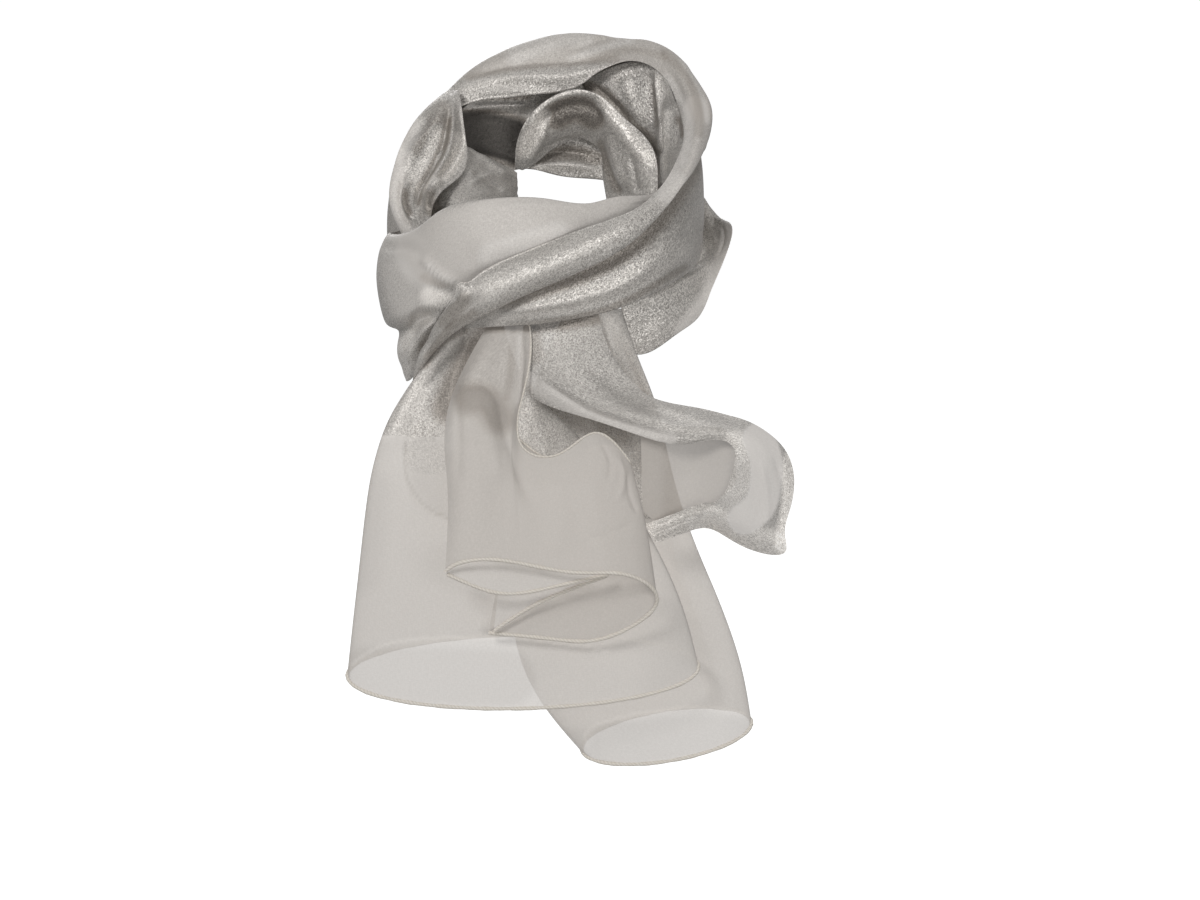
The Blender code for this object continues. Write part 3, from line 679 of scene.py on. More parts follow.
# The left flank of the outer turn: its cloth fans down from a pinch at the back.
COLLAR_LEFT = [
    (-6.35, 6.7, 6.9, -6.95, 7.75, 7.1, -7.7, 7.6, 4.8, 0.0),
    (-6.1, 5.0, 5.4, -8.8, 5.4, 5.6, -9.0, 6.6, 2.6, 0.3),
    (-5.8, 3.9, 3.3, -10.15, 4.0, 3.6, -10.0, 5.2, 0.0, 0.4),
    (-6.0, 2.5, 1.3, -10.95, 2.4, 1.4, -10.1, 3.8, -2.0, 0.4),
    (-7.7, 0.3, -0.3, -11.15, 0.8, -0.9, -9.8, 2.2, -4.0, 0.3),
    (-8.4, -2.2, -2.4, -10.3, -0.9, -3.1, -9.2, 0.6, -5.4, 0.25),
    (-8.5, -3.3, -4.4, -9.6, -2.4, -5.0, -9.0, -1.2, -6.9, 0.15),
]

# The back of the outer turn: it stands up behind the neck and rolls inwards over its crest.
COLLAR_BACK = [
    (-6.7, 7.3, 5.6, -7.2, 8.05, 6.9, -8.0, 8.6, 2.7, 0.1),
    (-5.2, 7.2, 6.2, -5.4, 8.7, 8.55, -5.6, 9.9, 2.7, 0.4),
    (-3.0, 7.2, 6.45, -3.0, 9.1, 9.8, -3.2, 10.6, 2.8, 0.5),
    (-0.8, 7.1, 6.7, -0.6, 9.1, 10.6, -0.6, 10.9, 2.8, 0.5),
    (1.4, 6.9, 7.0, 1.5, 9.0, 10.95, 1.6, 10.8, 2.8, 0.5),
    (3.3, 6.5, 8.1, 3.8, 8.5, 10.8, 4.0, 10.3, 2.6, 0.4),
    (5.2, 5.8, 9.0, 6.0, 7.5, 10.6, 6.3, 9.2, 2.4, 0.3),
    (7.1, 4.5, 8.65, 8.2, 6.0, 9.9, 8.5, 7.6, 2.2, 0.3),
    (8.3, 2.9, 7.4, 9.8, 4.1, 8.5, 9.9, 5.6, 2.2, 0.3),
    (8.9, 1.4, 6.0, 10.8, 2.1, 7.0, 10.8, 3.4, 2.8, 0.3),
]

# The collar's roll, carried on round the right side and down across the front to the knot.
FRONT_ROLL = [
    (9.3, -0.7, 4.6, 11.3, -0.2, 5.3, 10.9, 0.9, 3.4, 0.3),
    (9.3, -2.7, 3.3, 10.95, -2.7, 3.4, 10.4, -1.9, 2.8, 0.35),
    (8.7, -4.9, 1.7, 10.1, -5.1, 1.7, 9.5, -4.3, 1.9, 0.35),
    (7.9, -6.4, 0.3, 9.1, -6.9, 0.1, 8.4, -6.1, 0.4, 0.35),
    (6.6, -7.8, -1.0, 7.7, -8.4, -1.7, 7.1, -7.5, -1.2, 0.35),
    (4.5, -9.1, -1.95, 5.4, -9.8, -3.8, 5.0, -8.95, -3.1, 0.4),
    (1.5, -9.5, -3.0, 2.0, -10.4, -5.65, 1.8, -9.65, -4.9, 0.6),
    (-2.0, -9.7, -4.4, -1.5, -10.5, -7.15, -1.6, -9.68, -6.5, 0.7),
    (-5.0, -9.9, -5.9, -4.5, -10.3, -8.6, -4.6, -9.5, -8.0, 0.45),
    (-6.6, -9.5, -7.6, -6.6, -9.5, -9.8, -6.4, -8.8, -9.3, 0.35),
    (-7.7, -8.8, -9.1, -8.0, -8.6, -11.1, -7.7, -7.9, -10.7, 0.3),
    (-9.1, -8.0, -11.2, -9.6, -7.75, -13.25, -9.3, -7.5, -12.8, 0.15),
]

# The broad pale turn under the chin. It starts at the bulge on the left.
FRONT_UPPER = [
    (-10.4, 2.8, -2.6, -9.2, 1.8, -12.0, 0.9),
    (-11.2, -0.4, -3.0, -10.0, -1.2, -13.2, 1.3),
    (-10.5, -3.5, -3.1, -9.8, -4.1, -13.3, 1.2),
    (-9.2, -5.7, -2.6, -9.15, -6.15, -12.3, 0.8),
    (-7.4, -7.1, -1.3, -7.6, -7.8, -9.6, 0.6),
    (-5.0, -8.0, -0.7, -5.3, -8.8, -7.6, 0.5),
    (-2.4, -8.4, -0.5, -2.5, -9.3, -6.2, 0.4),
    (0.0, -8.4, -0.65, 0.2, -9.3, -4.9, 0.3),
    (2.3, -8.0, -1.0, 2.6, -8.6, -3.5, 0.2),
    (4.9, -7.0, -0.45, 5.1, -7.5, -2.1, 0.15),
    (7.1, -5.5, -0.3, 7.2, -5.9, -1.1, 0.1),
    (8.2, -4.2, 0.7, 8.4, -4.5, 0.0, 0.05),
]

# The shimmering turn below the roll. It comes round the right side from the back.
FRONT_LOWER = [
    (10.3, 0.6, 4.2, 10.6, 0.5, -4.2, 0.3),
    (9.8, -1.7, 2.5, 10.3, -2.3, -5.1, 0.5),
    (9.0, -4.3, 0.7, 9.4, -4.9, -5.95, 0.5),
    (7.4, -6.8, -1.3, 7.6, -7.2, -7.05, 0.6),
    (5.2, -8.1, -3.1, 5.2, -8.5, -8.15, 0.5),
    (2.4, -8.8, -4.6, 2.2, -9.1, -8.95, 0.4),
    (-0.6, -9.3, -6.0, -0.8, -9.3, -9.4, 0.35),
    (-3.4, -9.0, -7.4, -3.6, -9.0, -9.55, 0.25),
    (-5.8, -8.4, -8.7, -6.0, -8.4, -9.7, 0.1),
]

# The end of the outermost layer, a lobe that hangs out on the right below the other turns.
SIDE_FLAP = [
    (9.4, 5.8, 1.0, 9.6, 6.6, -3.4, 0.3),
    (10.3, 4.5, 0.2, 11.3, 4.8, -3.0, 0.3),
    (10.7, 3.6, -1.4, 12.3, 3.0, -2.2, 0.1),
    (10.6, 3.2, -3.2, 12.75, 1.4, -2.8, 0.1),
    (10.3, 2.2, -4.4, 12.2, 0.2, -4.8, 0.1),
    (9.6, 0.2, -5.2, 11.3, -1.2, -7.0, 0.3),
    (8.6, -2.2, -5.6, 10.3, -2.4, -9.0, 0.35),
    (7.4, -3.6, -6.6, 8.7, -3.6, -10.2, 0.4),
    (6.2, -4.8, -7.3, 6.5, -4.5, -11.5, 0.35),
    (5.0, -5.6, -7.6, 4.6, -5.2, -11.2, 0.2),
]

# The outermost turn behind the neck. It joins the bulge on the left to the flap on the right.
BACK_TURN = [
    (-11.0, 4.9, 0.2, -10.4, 4.6, -7.6, 0.7),
    (-10.0, 7.6, 2.8, -9.8, 7.2, -2.6, 0.5),
    (-7.6, 9.6, 4.8, -7.5, 9.4, 0.8, 0.4),
    (-4.3, 11.0, 5.8, -4.3, 10.8, 1.9, 0.3),
    (-0.4, 11.4, 6.0, -0.4, 11.1, 1.8, 0.2),
    (3.6, 11.0, 5.7, 3.6, 10.7, 1.6, 0.2),
    (7.0, 9.6, 4.6, 7.0, 9.4, 0.4, 0.3),
    (9.3, 7.6, 3.0, 9.4, 7.7, -1.6, 0.4),
]

# The wall of cloth behind the neck, inside the roll.
INNER_BACK = [
    (-8.98, 3.0, 1.0, -8.6, 2.4, -3.4, 0.1),
    (-8.6, 5.3, 3.2, -8.3, 4.8, -1.2, 0.2),
    (-7.1, 7.3, 4.7, -6.9, 6.9, 0.5, 0.2),
    (-5.3, 8.3, 6.4, -5.0, 7.9, 0.2, 0.3),
    (-2.6, 8.7, 7.4, -2.4, 8.3, 1.4, 0.3),
    (0.5, 8.8, 7.8, 0.6, 8.6, 1.0, 0.3),
    (3.4, 8.4, 8.2, 3.6, 8.2, 0.7, 0.3),
    (6.0, 7.4, 8.0, 6.2, 7.2, 0.0, 0.3),
    (8.4, 5.6, 7.0, 8.6, 5.4, -1.4, 0.3),
    (9.95, 3.1, 4.6, 10.15, 3.1, -3.3, 0.3),
]

# The inner turn, which arches over at the back of the neck.
INNER_ARCH = [
    (-2.45, 7.4, 1.5, -1.9, 8.2, 1.4, 0.0),
    (-2.35, 6.7, 3.2, -1.0, 8.1, 1.9, 0.3),
    (-1.5, 6.2, 5.1, -0.1, 8.0, 2.6, 0.5),
    (0.1, 5.9, 6.5, 0.8, 7.9, 3.15, 0.6),
    (2.0, 5.6, 7.05, 1.9, 7.6, 3.5, 0.6),
    (3.7, 5.0, 6.5, 2.9, 7.1, 3.3, 0.6),
    (5.1, 4.3, 5.2, 3.5, 6.5, 2.4, 0.6),
    (6.5, 3.3, 3.9, 3.65, 5.8, 1.2, 0.7),
    (7.4, 2.3, 2.4, 3.85, 5.0, -0.1, 0.7),
    (7.55, 1.5, -0.2, 4.1, 4.4, -1.5, 0.5),
]

# The inner turn where it climbs the right side, with upright folds.
INNER_RIGHT = [
    (2.3, 8.47, 7.6, 3.1, 7.97, 5.0, 0.0),
    (4.0, 7.7, 8.5, 5.0, 6.7, 2.8, 0.1),
    (5.8, 6.9, 9.0, 6.5, 5.4, 0.4, 0.2),
    (7.3, 5.6, 8.7, 7.2, 4.0, -0.8, 0.2),
    (8.2, 4.2, 7.6, 7.9, 2.0, -0.9, 0.2),
    (8.8, 2.7, 6.2, 8.3, -0.8, -0.9, 0.1),
    (9.5, 0.5, 4.2, 8.6, -3.2, -1.2, 0.0),
]

# A short stretch of the inner turn, low on the left of the neck.
NAPE_LEFT = [
    (-8.95, 2.88, 1.05, -8.55, 2.28, -3.4, 0.0),
    (-7.7, 3.4, 2.6, -7.6, 1.2, -2.6, 0.2),
    (-5.9, 4.6, 3.1, -6.4, 1.0, -2.2, 0.4),
    (-4.6, 5.2, 2.3, -5.0, 1.2, -1.9, 0.5),
    (-3.5, 5.6, 1.8, -3.8, 2.2, -1.6, 0.4),
    (-2.8, 5.8, 1.5, -2.9, 3.2, -1.4, 0.2),
    (-2.3, 5.9, 1.2, -2.25, 4.4, -1.3, 0.05),
]

# The widest end, a bell of cloth that opens to the left.
TAIL_LEFT = [
    (-8.9, -7.2, -3.4, -5.6, 0.6, 0.0, 0.0),
    (-11.0, -8.1, -2.8, -5.6, 0.7, 0.0, 0.0),
    (-13.5, -9.65, -1.5, -5.9, 0.9, 0.1, -0.1),
    (-16.0, -11.2, 0.8, -6.6, 1.1, 0.4, -0.1),
    (-19.5, -12.4, 4.0, -7.3, 1.4, 0.9, 0.0),
    (-24.0, -13.1, 6.8, -7.6, 1.5, 1.5, 0.1),
    (-29.0, -13.7, 9.1, -7.6, 1.6, 2.1, 0.2),
    (-33.7, -14.2, 10.4, -7.6, 1.7, 2.6, 0.3),
]

# The longest end, behind the others and swung to the right.
TAIL_BACK = [
    (-8.3, 1.2, 5.0, -8.06, 0.5, 0.0, 0.0),
    (-11.8, -0.4, 6.2, -6.7, 0.6, 0.0, 0.0),
    (-14.6, -1.2, 7.3, -5.3, 0.7, 0.1, 0.0),
    (-19.0, -1.4, 8.4, -4.5, 0.8, 0.3, 0.0),
    (-23.5, -1.6, 9.7, -4.4, 0.9, 0.6, 0.1),
    (-28.3, -2.6, 11.5, -4.3, 1.0, 1.0, 0.3),
    (-33.0, -1.8, 13.1, -4.2, 1.1, 1.4, 0.6),
    (-38.2, 2.2, 14.1, -4.1, 1.2, 1.8, 0.9),
]

# The end that sweeps out to the right and curls down and back under itself.
TAIL_RIGHT = [
    (3.4, -8.77, -8.5, -1.8, -8.07, -9.2, 0.0),
    (4.0, -8.5, -10.8, -2.1, -8.34, -12.1, 0.7),
    (5.3, -8.4, -12.9, -1.4, -8.7, -14.3, 0.9),
    (7.3, -8.5, -14.6, 2.0, -9.4, -15.8, 0.7),
    (10.0, -8.6, -15.1, 6.0, -9.8, -17.1, 0.6),
    (12.6, -8.7, -15.75, 9.4, -10.0, -17.8, 0.6),
    (14.7, -8.7, -16.6, 11.9, -10.0, -17.5, 0.5),
    (16.4, -8.7, -18.1, 12.9, -10.0, -18.2, 0.5),
    (17.1, -8.6, -20.3, 12.8, -9.9, -19.6, 0.4),
    (16.8, -8.5, -22.4, 12.5, -9.8, -20.6, 0.3),
    (16.45, -8.4, -24.0, 12.2, -9.8, -21.2, 0.2),
    (16.5, -8.2, -25.3, 11.7, -9.7, -21.7, 0.2),
    (13.8, -8.1, -25.1, 10.9, -9.5, -21.9, 0.2),
    (11.0, -8.3, -23.7, 9.6, -9.3, -22.3, 0.15),
    (9.2, -8.6, -24.1, 8.3, -9.2, -22.8, 0.15),
    (7.4, -8.9, -24.7, 6.6, -9.1, -23.4, 0.1),
]

# The sheer cloth that hangs inside the curl of the right end.
TAIL_GUTTER = [
    (6.3, -8.4, -15.6, 6.5, -8.9, -22.4, 0.0),
    (7.6, -8.2, -16.2, 7.4, -8.7, -23.2, 0.0),
    (9.8, -8.1, -16.6, 9.2, -8.4, -23.1, -0.2),
    (11.8, -8.6, -16.6, 11.2, -8.9, -22.2, -0.1),
    (13.1, -9.3, -17.6, 13.0, -9.77, -20.5, 0.0),
]

# A short layer that shows through the left end, with a curled lower corner.
TAIL_INNER = [
    (-6.6, -4.68, -10.2, -9.6, -4.6, -17.0, 0.1),
    (-5.9, -4.68, -10.3, -10.1, -4.7, -20.3, 0.1),
    (-5.1, -4.68, -10.4, -9.0, -4.9, -22.3, 0.1),
    (-4.2, -4.6, -10.5, -6.0, -5.0, -23.2, 0.1),
    (-3.2, -4.6, -10.6, -2.6, -5.0, -23.4, 0.0),
]

# The end in front: it leaves the knot as a column, then opens with a rolled edge on the right.
TAIL_FRONT = [
    [
        (-2.2, -9.5, -17.4), (0.8, -9.6, -18.9), (4.3, -9.5, -18.0), (5.7, -9.8, -19.2),
        (3.6, -10.3, -17.05), (0.6, -10.5, -18.5), (-1.9, -10.2, -18.0), (-2.2, -9.7, -15.5),
        (-1.4, -8.9, -11.9), (-1.7, -8.2, -9.0), (-2.9, -8.1, -8.8), (-4.1, -7.9, -9.0),
    ],
    [
        (-2.7, -9.6, -20.6), (0.6, -9.7, -21.6), (4.2, -9.7, -21.2), (6.35, -10.2, -21.8),
        (4.2, -10.9, -19.4), (0.8, -11.1, -20.4), (-1.8, -11.0, -19.9), (-2.6, -10.6, -17.2),
        (-3.1, -10.2, -14.6), (-4.5, -10.3, -13.7), (-6.0, -10.2, -13.9), (-6.95, -9.6, -14.6),
    ],
    [
        (-3.4, -9.9, -25.6), (0.4, -9.9, -26.4), (4.4, -10.0, -26.0), (7.0, -10.6, -25.4),
        (4.9, -11.5, -23.1), (1.4, -11.9, -23.4), (-1.4, -12.0, -23.0), (-2.6, -11.7, -21.2),
        (-3.8, -11.6, -19.8), (-5.2, -11.8, -19.4), (-6.4, -11.7, -19.7), (-7.2, -11.2, -20.5),
    ],
    [
        (-4.3, -10.3, -31.0), (0.3, -10.2, -31.45), (4.6, -10.3, -31.1), (7.45, -11.1, -29.0),
        (5.6, -12.3, -27.0), (2.0, -12.8, -26.8), (-1.0, -12.9, -26.35), (-2.8, -13.0, -26.0),
        (-4.4, -13.1, -25.85), (-5.6, -13.1, -25.95), (-6.6, -13.0, -26.2), (-7.35, -12.8, -26.7),
    ],
]

# The pleat folded inwards behind the left side of the front end.
TAIL_PLEAT = [
    [
        (-6.9, -10.9, -19.5), (-4.4, -11.0, -20.0), (0.4, -10.9, -20.6), (3.0, -10.7, -20.4),
        (0.4, -10.5, -20.7), (-2.8, -10.3, -21.1),
    ],
    [
        (-7.2, -12.5, -26.9), (-4.4, -12.3, -28.05), (0.6, -12.0, -27.7), (4.1, -11.6, -26.95),
        (0.4, -11.1, -28.35), (-3.95, -10.65, -30.9),
    ],
]


# The pieces

MATERIALS = {"organza": organza(), "hem": rolled_hem()}


def sum_of(grid, folds, window=ANYWHERE):
    """The relief of several creases. A row is the line, its half widths, its height and its lean."""
    return sum(crease(grid, *fold, window=window) for fold in folds)


def shading(grid, spots, window=ANYWHERE):
    """The painted shade and painted highlight that soft zones add. A row is the line, its half width, its
    soft border and its painted lightness."""
    return sum(painted_light * zone(grid, points, width, soft, window) for points, width, soft, painted_light in spots)


def below(grid, places, heights):
    """How far each point lies below the line that the plain zone's border follows in the front view."""
    return np.interp(grid[..., 0], places, heights) - grid[..., 2]


def cover_of(edge):
    """How much an end hides, from its shimmering part to its plain part past the border."""
    return SHIMMER_COVER + (PLAIN_COVER - SHIMMER_COVER) * ramp(edge, -COVER_SOFT, COVER_SOFT)


def collar():
    grid = folded_over(COLLAR_BACK + FRONT_ROLL, 230, 76)
    grid = pulled(grid, (-6.1, -7.05), (-0.35, -0.15, 0.45), 0.5, IN_FRONT)
    folds = [
        ([(-6.1, 7.75), (-2.8, 8.7), (1.4, 9.0), (4.9, 9.2)], (0.35, 0.45), -0.22, -0.3),
        ([(-6.2, 7.2), (-2.1, 7.9), (0.3, 7.9), (2.3, 8.15), (4.6, 8.9)], (0.5, 0.6), 0.28),
        ([(-5.6, 6.75), (-3.5, 6.9), (-1.0, 6.95)], (0.25, 0.3), 0.12),
        ([(1.0, 9.5), (2.6, 10.25), (4.9, 10.75), (7.0, 10.2)], (0.3, 0.3), -0.12, 0.4),
        ([(-3.5, 9.3), (-1.0, 10.0), (1.0, 10.6)], (0.4, 0.4), 0.12),
        ([(8.4, 9.2), (9.6, 6.9), (10.4, 4.6), (9.9, 2.0), (8.9, 0.2)], (0.5, 0.5), 0.2),
        ([(7.2, 9.6), (8.6, 7.9), (9.5, 5.8)], (0.35, 0.4), -0.18),
        ([(9.6, 8.9), (10.6, 7.3), (10.9, 5.4)], (0.3, 0.3), -0.1),
        ([(9.1, 1.2), (7.3, -0.9), (5.5, -2.3), (3.6, -3.3), (1.0, -4.4)], (0.4, 0.6), 0.16),
        ([(8.8, -0.6), (7.0, -2.4), (4.6, -4.0), (1.5, -5.3), (-1.5, -6.6)], (0.4, 0.5), -0.05),
        ([(-4.5, -7.2), (-6.6, -8.6), (-8.2, -10.4), (-9.0, -12.0)], (0.4, 0.35), -0.2),
        ([(-5.5, -7.0), (-7.3, -8.6), (-8.6, -10.6)], (0.35, 0.35), 0.18),
    ]
    crest = [(-5.5, 9.0), (-2, 9.9), (1.5, 10.3), (4.5, 10.3), (7.5, 9.6), (9.6, 8.0), (10.6, 6.0)]
    top = zone(grid, crest, 0.9, 1.0)
    side = zone(grid, [(10.3, 5.6), (10.2, 3.4), (9.5, 1.4), (8.4, -0.2)], 0.6, 0.6, IN_FRONT)
    # Painted highlight along ridges and the roll's lower crest, painted shade in troughs and under the
    # roll's edge.
    painted_light_zones = [
        ([(8.6, 0.4), (7.2, -1.2), (5.0, -2.8), (2.2, -4.1), (-1.0, -5.6), (-4.2, -7.0)], 0.5, 0.7, 0.15),
        ([(-5.4, -8.6), (-7.2, -9.8), (-8.6, -11.6)], 0.1, 0.35, -0.22),
        ([(-6.3, 6.9), (-3.4, 7.5), (0.4, 7.7), (2.6, 8.3)], 0.3, 0.5, 0.1),
        ([(-5.6, 7.9), (-2.0, 8.6), (1.2, 8.85), (4.6, 9.2)], 0.1, 0.35, -0.16),
        ([(-2.4, 9.4), (0.2, 10.5), (2.4, 10.8)], 0.3, 0.7, 0.14),
        ([(1.4, 9.2), (3.4, 9.9), (5.6, 10.4)], 0.08, 0.3, 0.12),
        ([(3.0, 9.2), (5.6, 9.8), (8.0, 9.3)], 0.08, 0.3, -0.1),
        ([(8.0, 9.6), (9.6, 7.8), (10.4, 5.6), (10.4, 3.8)], 0.1, 0.35, -0.16),
        ([(9.2, 9.0), (10.5, 7.0), (11.0, 4.8)], 0.06, 0.25, 0.14),
        ([(8.2, 7.9), (9.3, 6.2), (9.7, 4.0), (9.3, 1.8)], 0.1, 0.35, 0.1),
        ([(-6.5, -6.75), (-6.45, -7.3), (-6.75, -7.9)], 0.04, 0.16, 0.35),
        ([(-6.0, -7.6), (-6.6, -8.4), (-7.4, -9.3)], 0.2, 0.5, -0.2),
    ]
    # A light line along the collar's free edge: a selvedge with painted highlight, brighter along the
    # brightest stretch in front and faded out on the right.
    rim = np.zeros(grid.shape[:2])
    rim[:, :RIM_COLUMNS] = RIM_PAINTED_LIGHT
    brightest = [(-1.0, -4.1), (-3.8, -5.4), (-5.4, -6.3), (-6.7, -7.4)]
    rim = rim + RIM_HIGHLIGHT_BOOST * rim * zone(grid, brightest, 0.6, 0.5, IN_FRONT)
    rim = rim * (1 - zone(grid, [(4.0, 8.6), (6.4, 8.9), (8.4, 7.4), (9.2, 5.2), (9.3, 3.2)], 0.8, 0.8))
    # The pale top and right side are plainer cloth; both are also painted a little darker, as painted
    # shade.
    return sheet("cloth_collar", grid, ["collar_back", "front_roll"], "shimmer_organza",
                 [sum_of(grid, folds), drape_noise(grid, 0.055, 6.0, 1.4, 1.0)],
                 plain=0.5 * top + 0.55 * side,
                 painted_light=shading(grid, painted_light_zones) + rim - 0.12 * top - 0.05 * side, wall=RING_WALL)


def collar_left():
    grid = folded_over(COLLAR_LEFT, 120, 84)
    folds = [
        ([(-6.5, 6.6), (-6.1, 4.4), (-6.1, 3.0), (-7.0, 1.6), (-8.1, 0.5)], (0.3, 0.45), 0.3),
        ([(-6.8, 6.4), (-6.9, 4.2), (-7.3, 2.4), (-8.2, 0.8), (-8.8, -0.4)], (0.22, 0.35), -0.45, -0.2),
        ([(-7.1, 5.9), (-7.35, 3.9), (-7.9, 2.3), (-8.7, 0.9), (-9.3, -0.2), (-9.5, -1.8)],
         (0.25, 0.35), 0.5, -0.3),
        ([(-7.3, 6.0), (-8.3, 4.2), (-9.4, 2.9), (-10.2, 1.2)], (0.5, 0.5), -0.4),
        ([(-9.6, 0.9), (-10.15, -0.3), (-10.1, -1.2), (-9.6, -2.2)], (0.25, 0.25), -0.5),
        ([(-10.2, 1.6), (-10.5, -0.2), (-10.3, -1.6), (-9.6, -2.8)], (0.22, 0.25), 0.3),
        ([(-8.9, -0.2), (-9.0, -1.4), (-8.9, -2.3)], (0.2, 0.2), 0.25),
        ([(-7.4, 0.8), (-8.4, -0.3), (-8.6, -1.6)], (0.35, 0.3), -0.4),
    ]
    # Painted highlight on the bright lobes and along the pale outer edge, painted shade in the troughs
    # between them.
    painted_light_zones = [
        ([(-6.3, 3.6), (-6.7, 2.1), (-7.6, 0.9), (-8.4, 0.2)], 0.2, 0.5, 0.45),
        ([(-7.8, 3.9), (-8.4, 2.4), (-9.1, 1.1), (-9.7, 0.2)], 0.25, 0.5, 0.5),
        ([(-7.05, 4.9), (-7.3, 3.2), (-8.0, 1.7), (-8.9, 0.4), (-9.25, -0.8)], 0.05, 0.25, -0.35),
        ([(-7.6, 5.6), (-8.4, 4.2), (-9.4, 2.9)], 0.3, 0.7, -0.2),
        ([(-10.0, 0.1), (-10.15, -0.8), (-9.9, -1.7)], 0.12, 0.3, -0.5),
        ([(-8.35, -0.3), (-8.4, -1.5)], 0.15, 0.35, -0.35),
        ([(-10.9, 2.5), (-11.0, 0.0), (-10.8, -2.2), (-9.8, -3.6)], 0.5, 0.8, 0.25),
        ([(-9.4, 4.6), (-10.4, 2.6)], 0.4, 0.7, 0.2),
    ]
    pale = zone(grid, [(-9.9, 4.4), (-10.9, 2.0), (-11.1, -0.8), (-10.6, -2.8), (-9.4, -3.9)], 0.5, 0.8)
    return sheet("cloth_collar_left", grid, ["collar_left"], "shimmer_organza",
                 [sum_of(grid, folds), drape_noise(grid, 0.04, 4.0, 1.0, 2.0)], plain=0.6 * pale,
                 painted_light=shading(grid, painted_light_zones), wall=RING_WALL)


def outer_turn():
    rows = FRONT_UPPER[::-1] + BACK_TURN + SIDE_FLAP
    peaks = [0.38] * (len(FRONT_UPPER) - 1) + [0.45] + [0.5] * len(BACK_TURN + SIDE_FLAP)
    grid = band(rows, 260, 64, peaks)
    in_front = [
        ([(-6, -4.6), (-3, -3.9), (0, -3.0), (3.5, -2.0)], (1.2, 1.0), 0.2),
        ([(-13.6, -10.3), (-10.7, -9.95), (-9.9, -9.3), (-9.0, -8.85), (-7.6, -8.7)],
         (0.9, 0.4), -0.8, 0.4),
        ([(-11.4, -9.2), (-9.9, -8.6), (-8.9, -8.2), (-7.6, -8.0)], (0.3, 0.25), 0.15),
        ([(-6.2, -6.9), (-7.2, -6.3), (-7.8, -5.95), (-8.5, -5.3), (-9.3, -4.9)], (0.12, 0.25), 0.24, 0.4),
        ([(-6.5, -7.4), (-7.6, -6.9), (-8.8, -6.7)], (0.4, 0.5), -0.22),
        ([(-6.3, -6.0), (-5.2, -5.4), (-3.8, -4.8)], (0.5, 0.6), 0.08),
        ([(-11.9, -4.2), (-10.2, -4.0), (-8.6, -4.8)], (0.35, 0.5), -0.18),
        ([(-6.7, -7.9), (-8.1, -9.6), (-9.25, -11.3), (-9.6, -13.0)], (0.25, 0.28), -0.4),
        ([(-8.0, -8.9), (-9.4, -10.6), (-10.1, -12.4)], (0.45, 0.4), 0.28),
        ([(-9.6, -9.9), (-10.2, -11.4), (-10.1, -12.9)], (0.3, 0.3), -0.15),
        ([(-4, -1.2), (0, -1.0), (3.4, -1.4)], (0.3, 0.3), 0.1),
    ]
    on_the_flap = [
        ([(6.6, -7.0), (9.3, -5.6), (11.5, -4.2)], (0.35, 0.35), -0.22),
        ([(6.4, -7.9), (9.4, -6.4), (11.8, -4.9)], (0.4, 0.5), 0.2),
        ([(10.9, -2.0), (11.9, -2.5), (12.2, -3.4), (11.7, -4.8)], (0.12, 0.12), -0.1),
        ([(10.6, -2.9), (11.4, -3.2), (11.6, -4.0)], (0.12, 0.12), 0.08),
        ([(7.0, -10.2), (8.6, -8.6), (10.6, -7.0)], (0.5, 0.5), 0.12),
    ]
    behind = [
        ([(-10.4, -1.5), (-7.5, 2.2), (-3.5, 3.9), (1, 4.3), (5, 4.0), (8.6, 2.0)], (0.35, 0.35), 0.25),
        ([(-10.6, -3.5), (-7.5, 1.4), (-4, 2.9), (0, 3.2), (4, 3.0)], (0.3, 0.35), -0.22),
        ([(-2, 2.3), (3, 2.6), (7, 1.8), (9.2, 0.2)], (0.3, 0.3), 0.2),
        ([(-8.6, 3.4), (-4.5, 5.1), (-0.5, 5.4), (4, 5.2)], (0.25, 0.3), -0.18),
    ]
    upper = zone(grid, [(-8, -4.0), (-5.6, -3.8), (-2, -2.4), (2, -1.8), (6, -1.2)], 2.2, 1.2, IN_FRONT)
    bulge = zone(grid, [(-10.6, -4.5), (-9.8, -7.5)], 1.0, 1.5, IN_FRONT)
    strip = zone(grid, [(12.6, -3), (12.0, -5.4), (11.0, -7.6), (9.4, -9.8)], 0.3, 0.7)
    # Painted highlight and painted shade along the star's creases, the step and the lower lobe in front.
    painted_light_zones = [
        ([(-6.7, -7.9), (-8.1, -9.6), (-9.25, -11.3), (-9.6, -13.0)], 0.1, 0.35, -0.45),
        ([(-8.6, -7.3), (-7.4, -8.0)], 0.3, 0.5, 0.3),
        ([(-6.5, -6.7), (-7.2, -6.3), (-7.8, -5.95), (-8.5, -5.3)], 0.04, 0.16, 0.3),
        ([(-6.9, -6.9), (-7.9, -6.6), (-8.8, -6.1)], 0.1, 0.4, -0.16),
        ([(-7.0, -7.3), (-7.9, -7.6), (-8.6, -7.5)], 0.25, 0.5, 0.25),
        ([(-6.9, -8.1), (-7.5, -8.45), (-8.8, -8.3), (-9.8, -8.85), (-10.4, -9.8)], 0.03, 0.14, -0.3),
        ([(-7.6, -8.75), (-8.8, -8.6), (-9.8, -9.2), (-10.4, -10.2)], 0.1, 0.3, 0.25),
        ([(-10.4, -10.6), (-9.6, -10.2), (-8.6, -9.5)], 0.4, 0.6, 0.4),
        ([(-10.2, -10.8), (-10.2, -12.8)], 0.5, 0.6, 0.5),
        ([(-4.2, -4.6), (-1.5, -3.7), (0.5, -3.1)], 0.4, 0.7, 0.12),
        ([(-10.8, -6.0), (-10.4, -8.0)], 0.6, 1.0, 0.12),
    ]
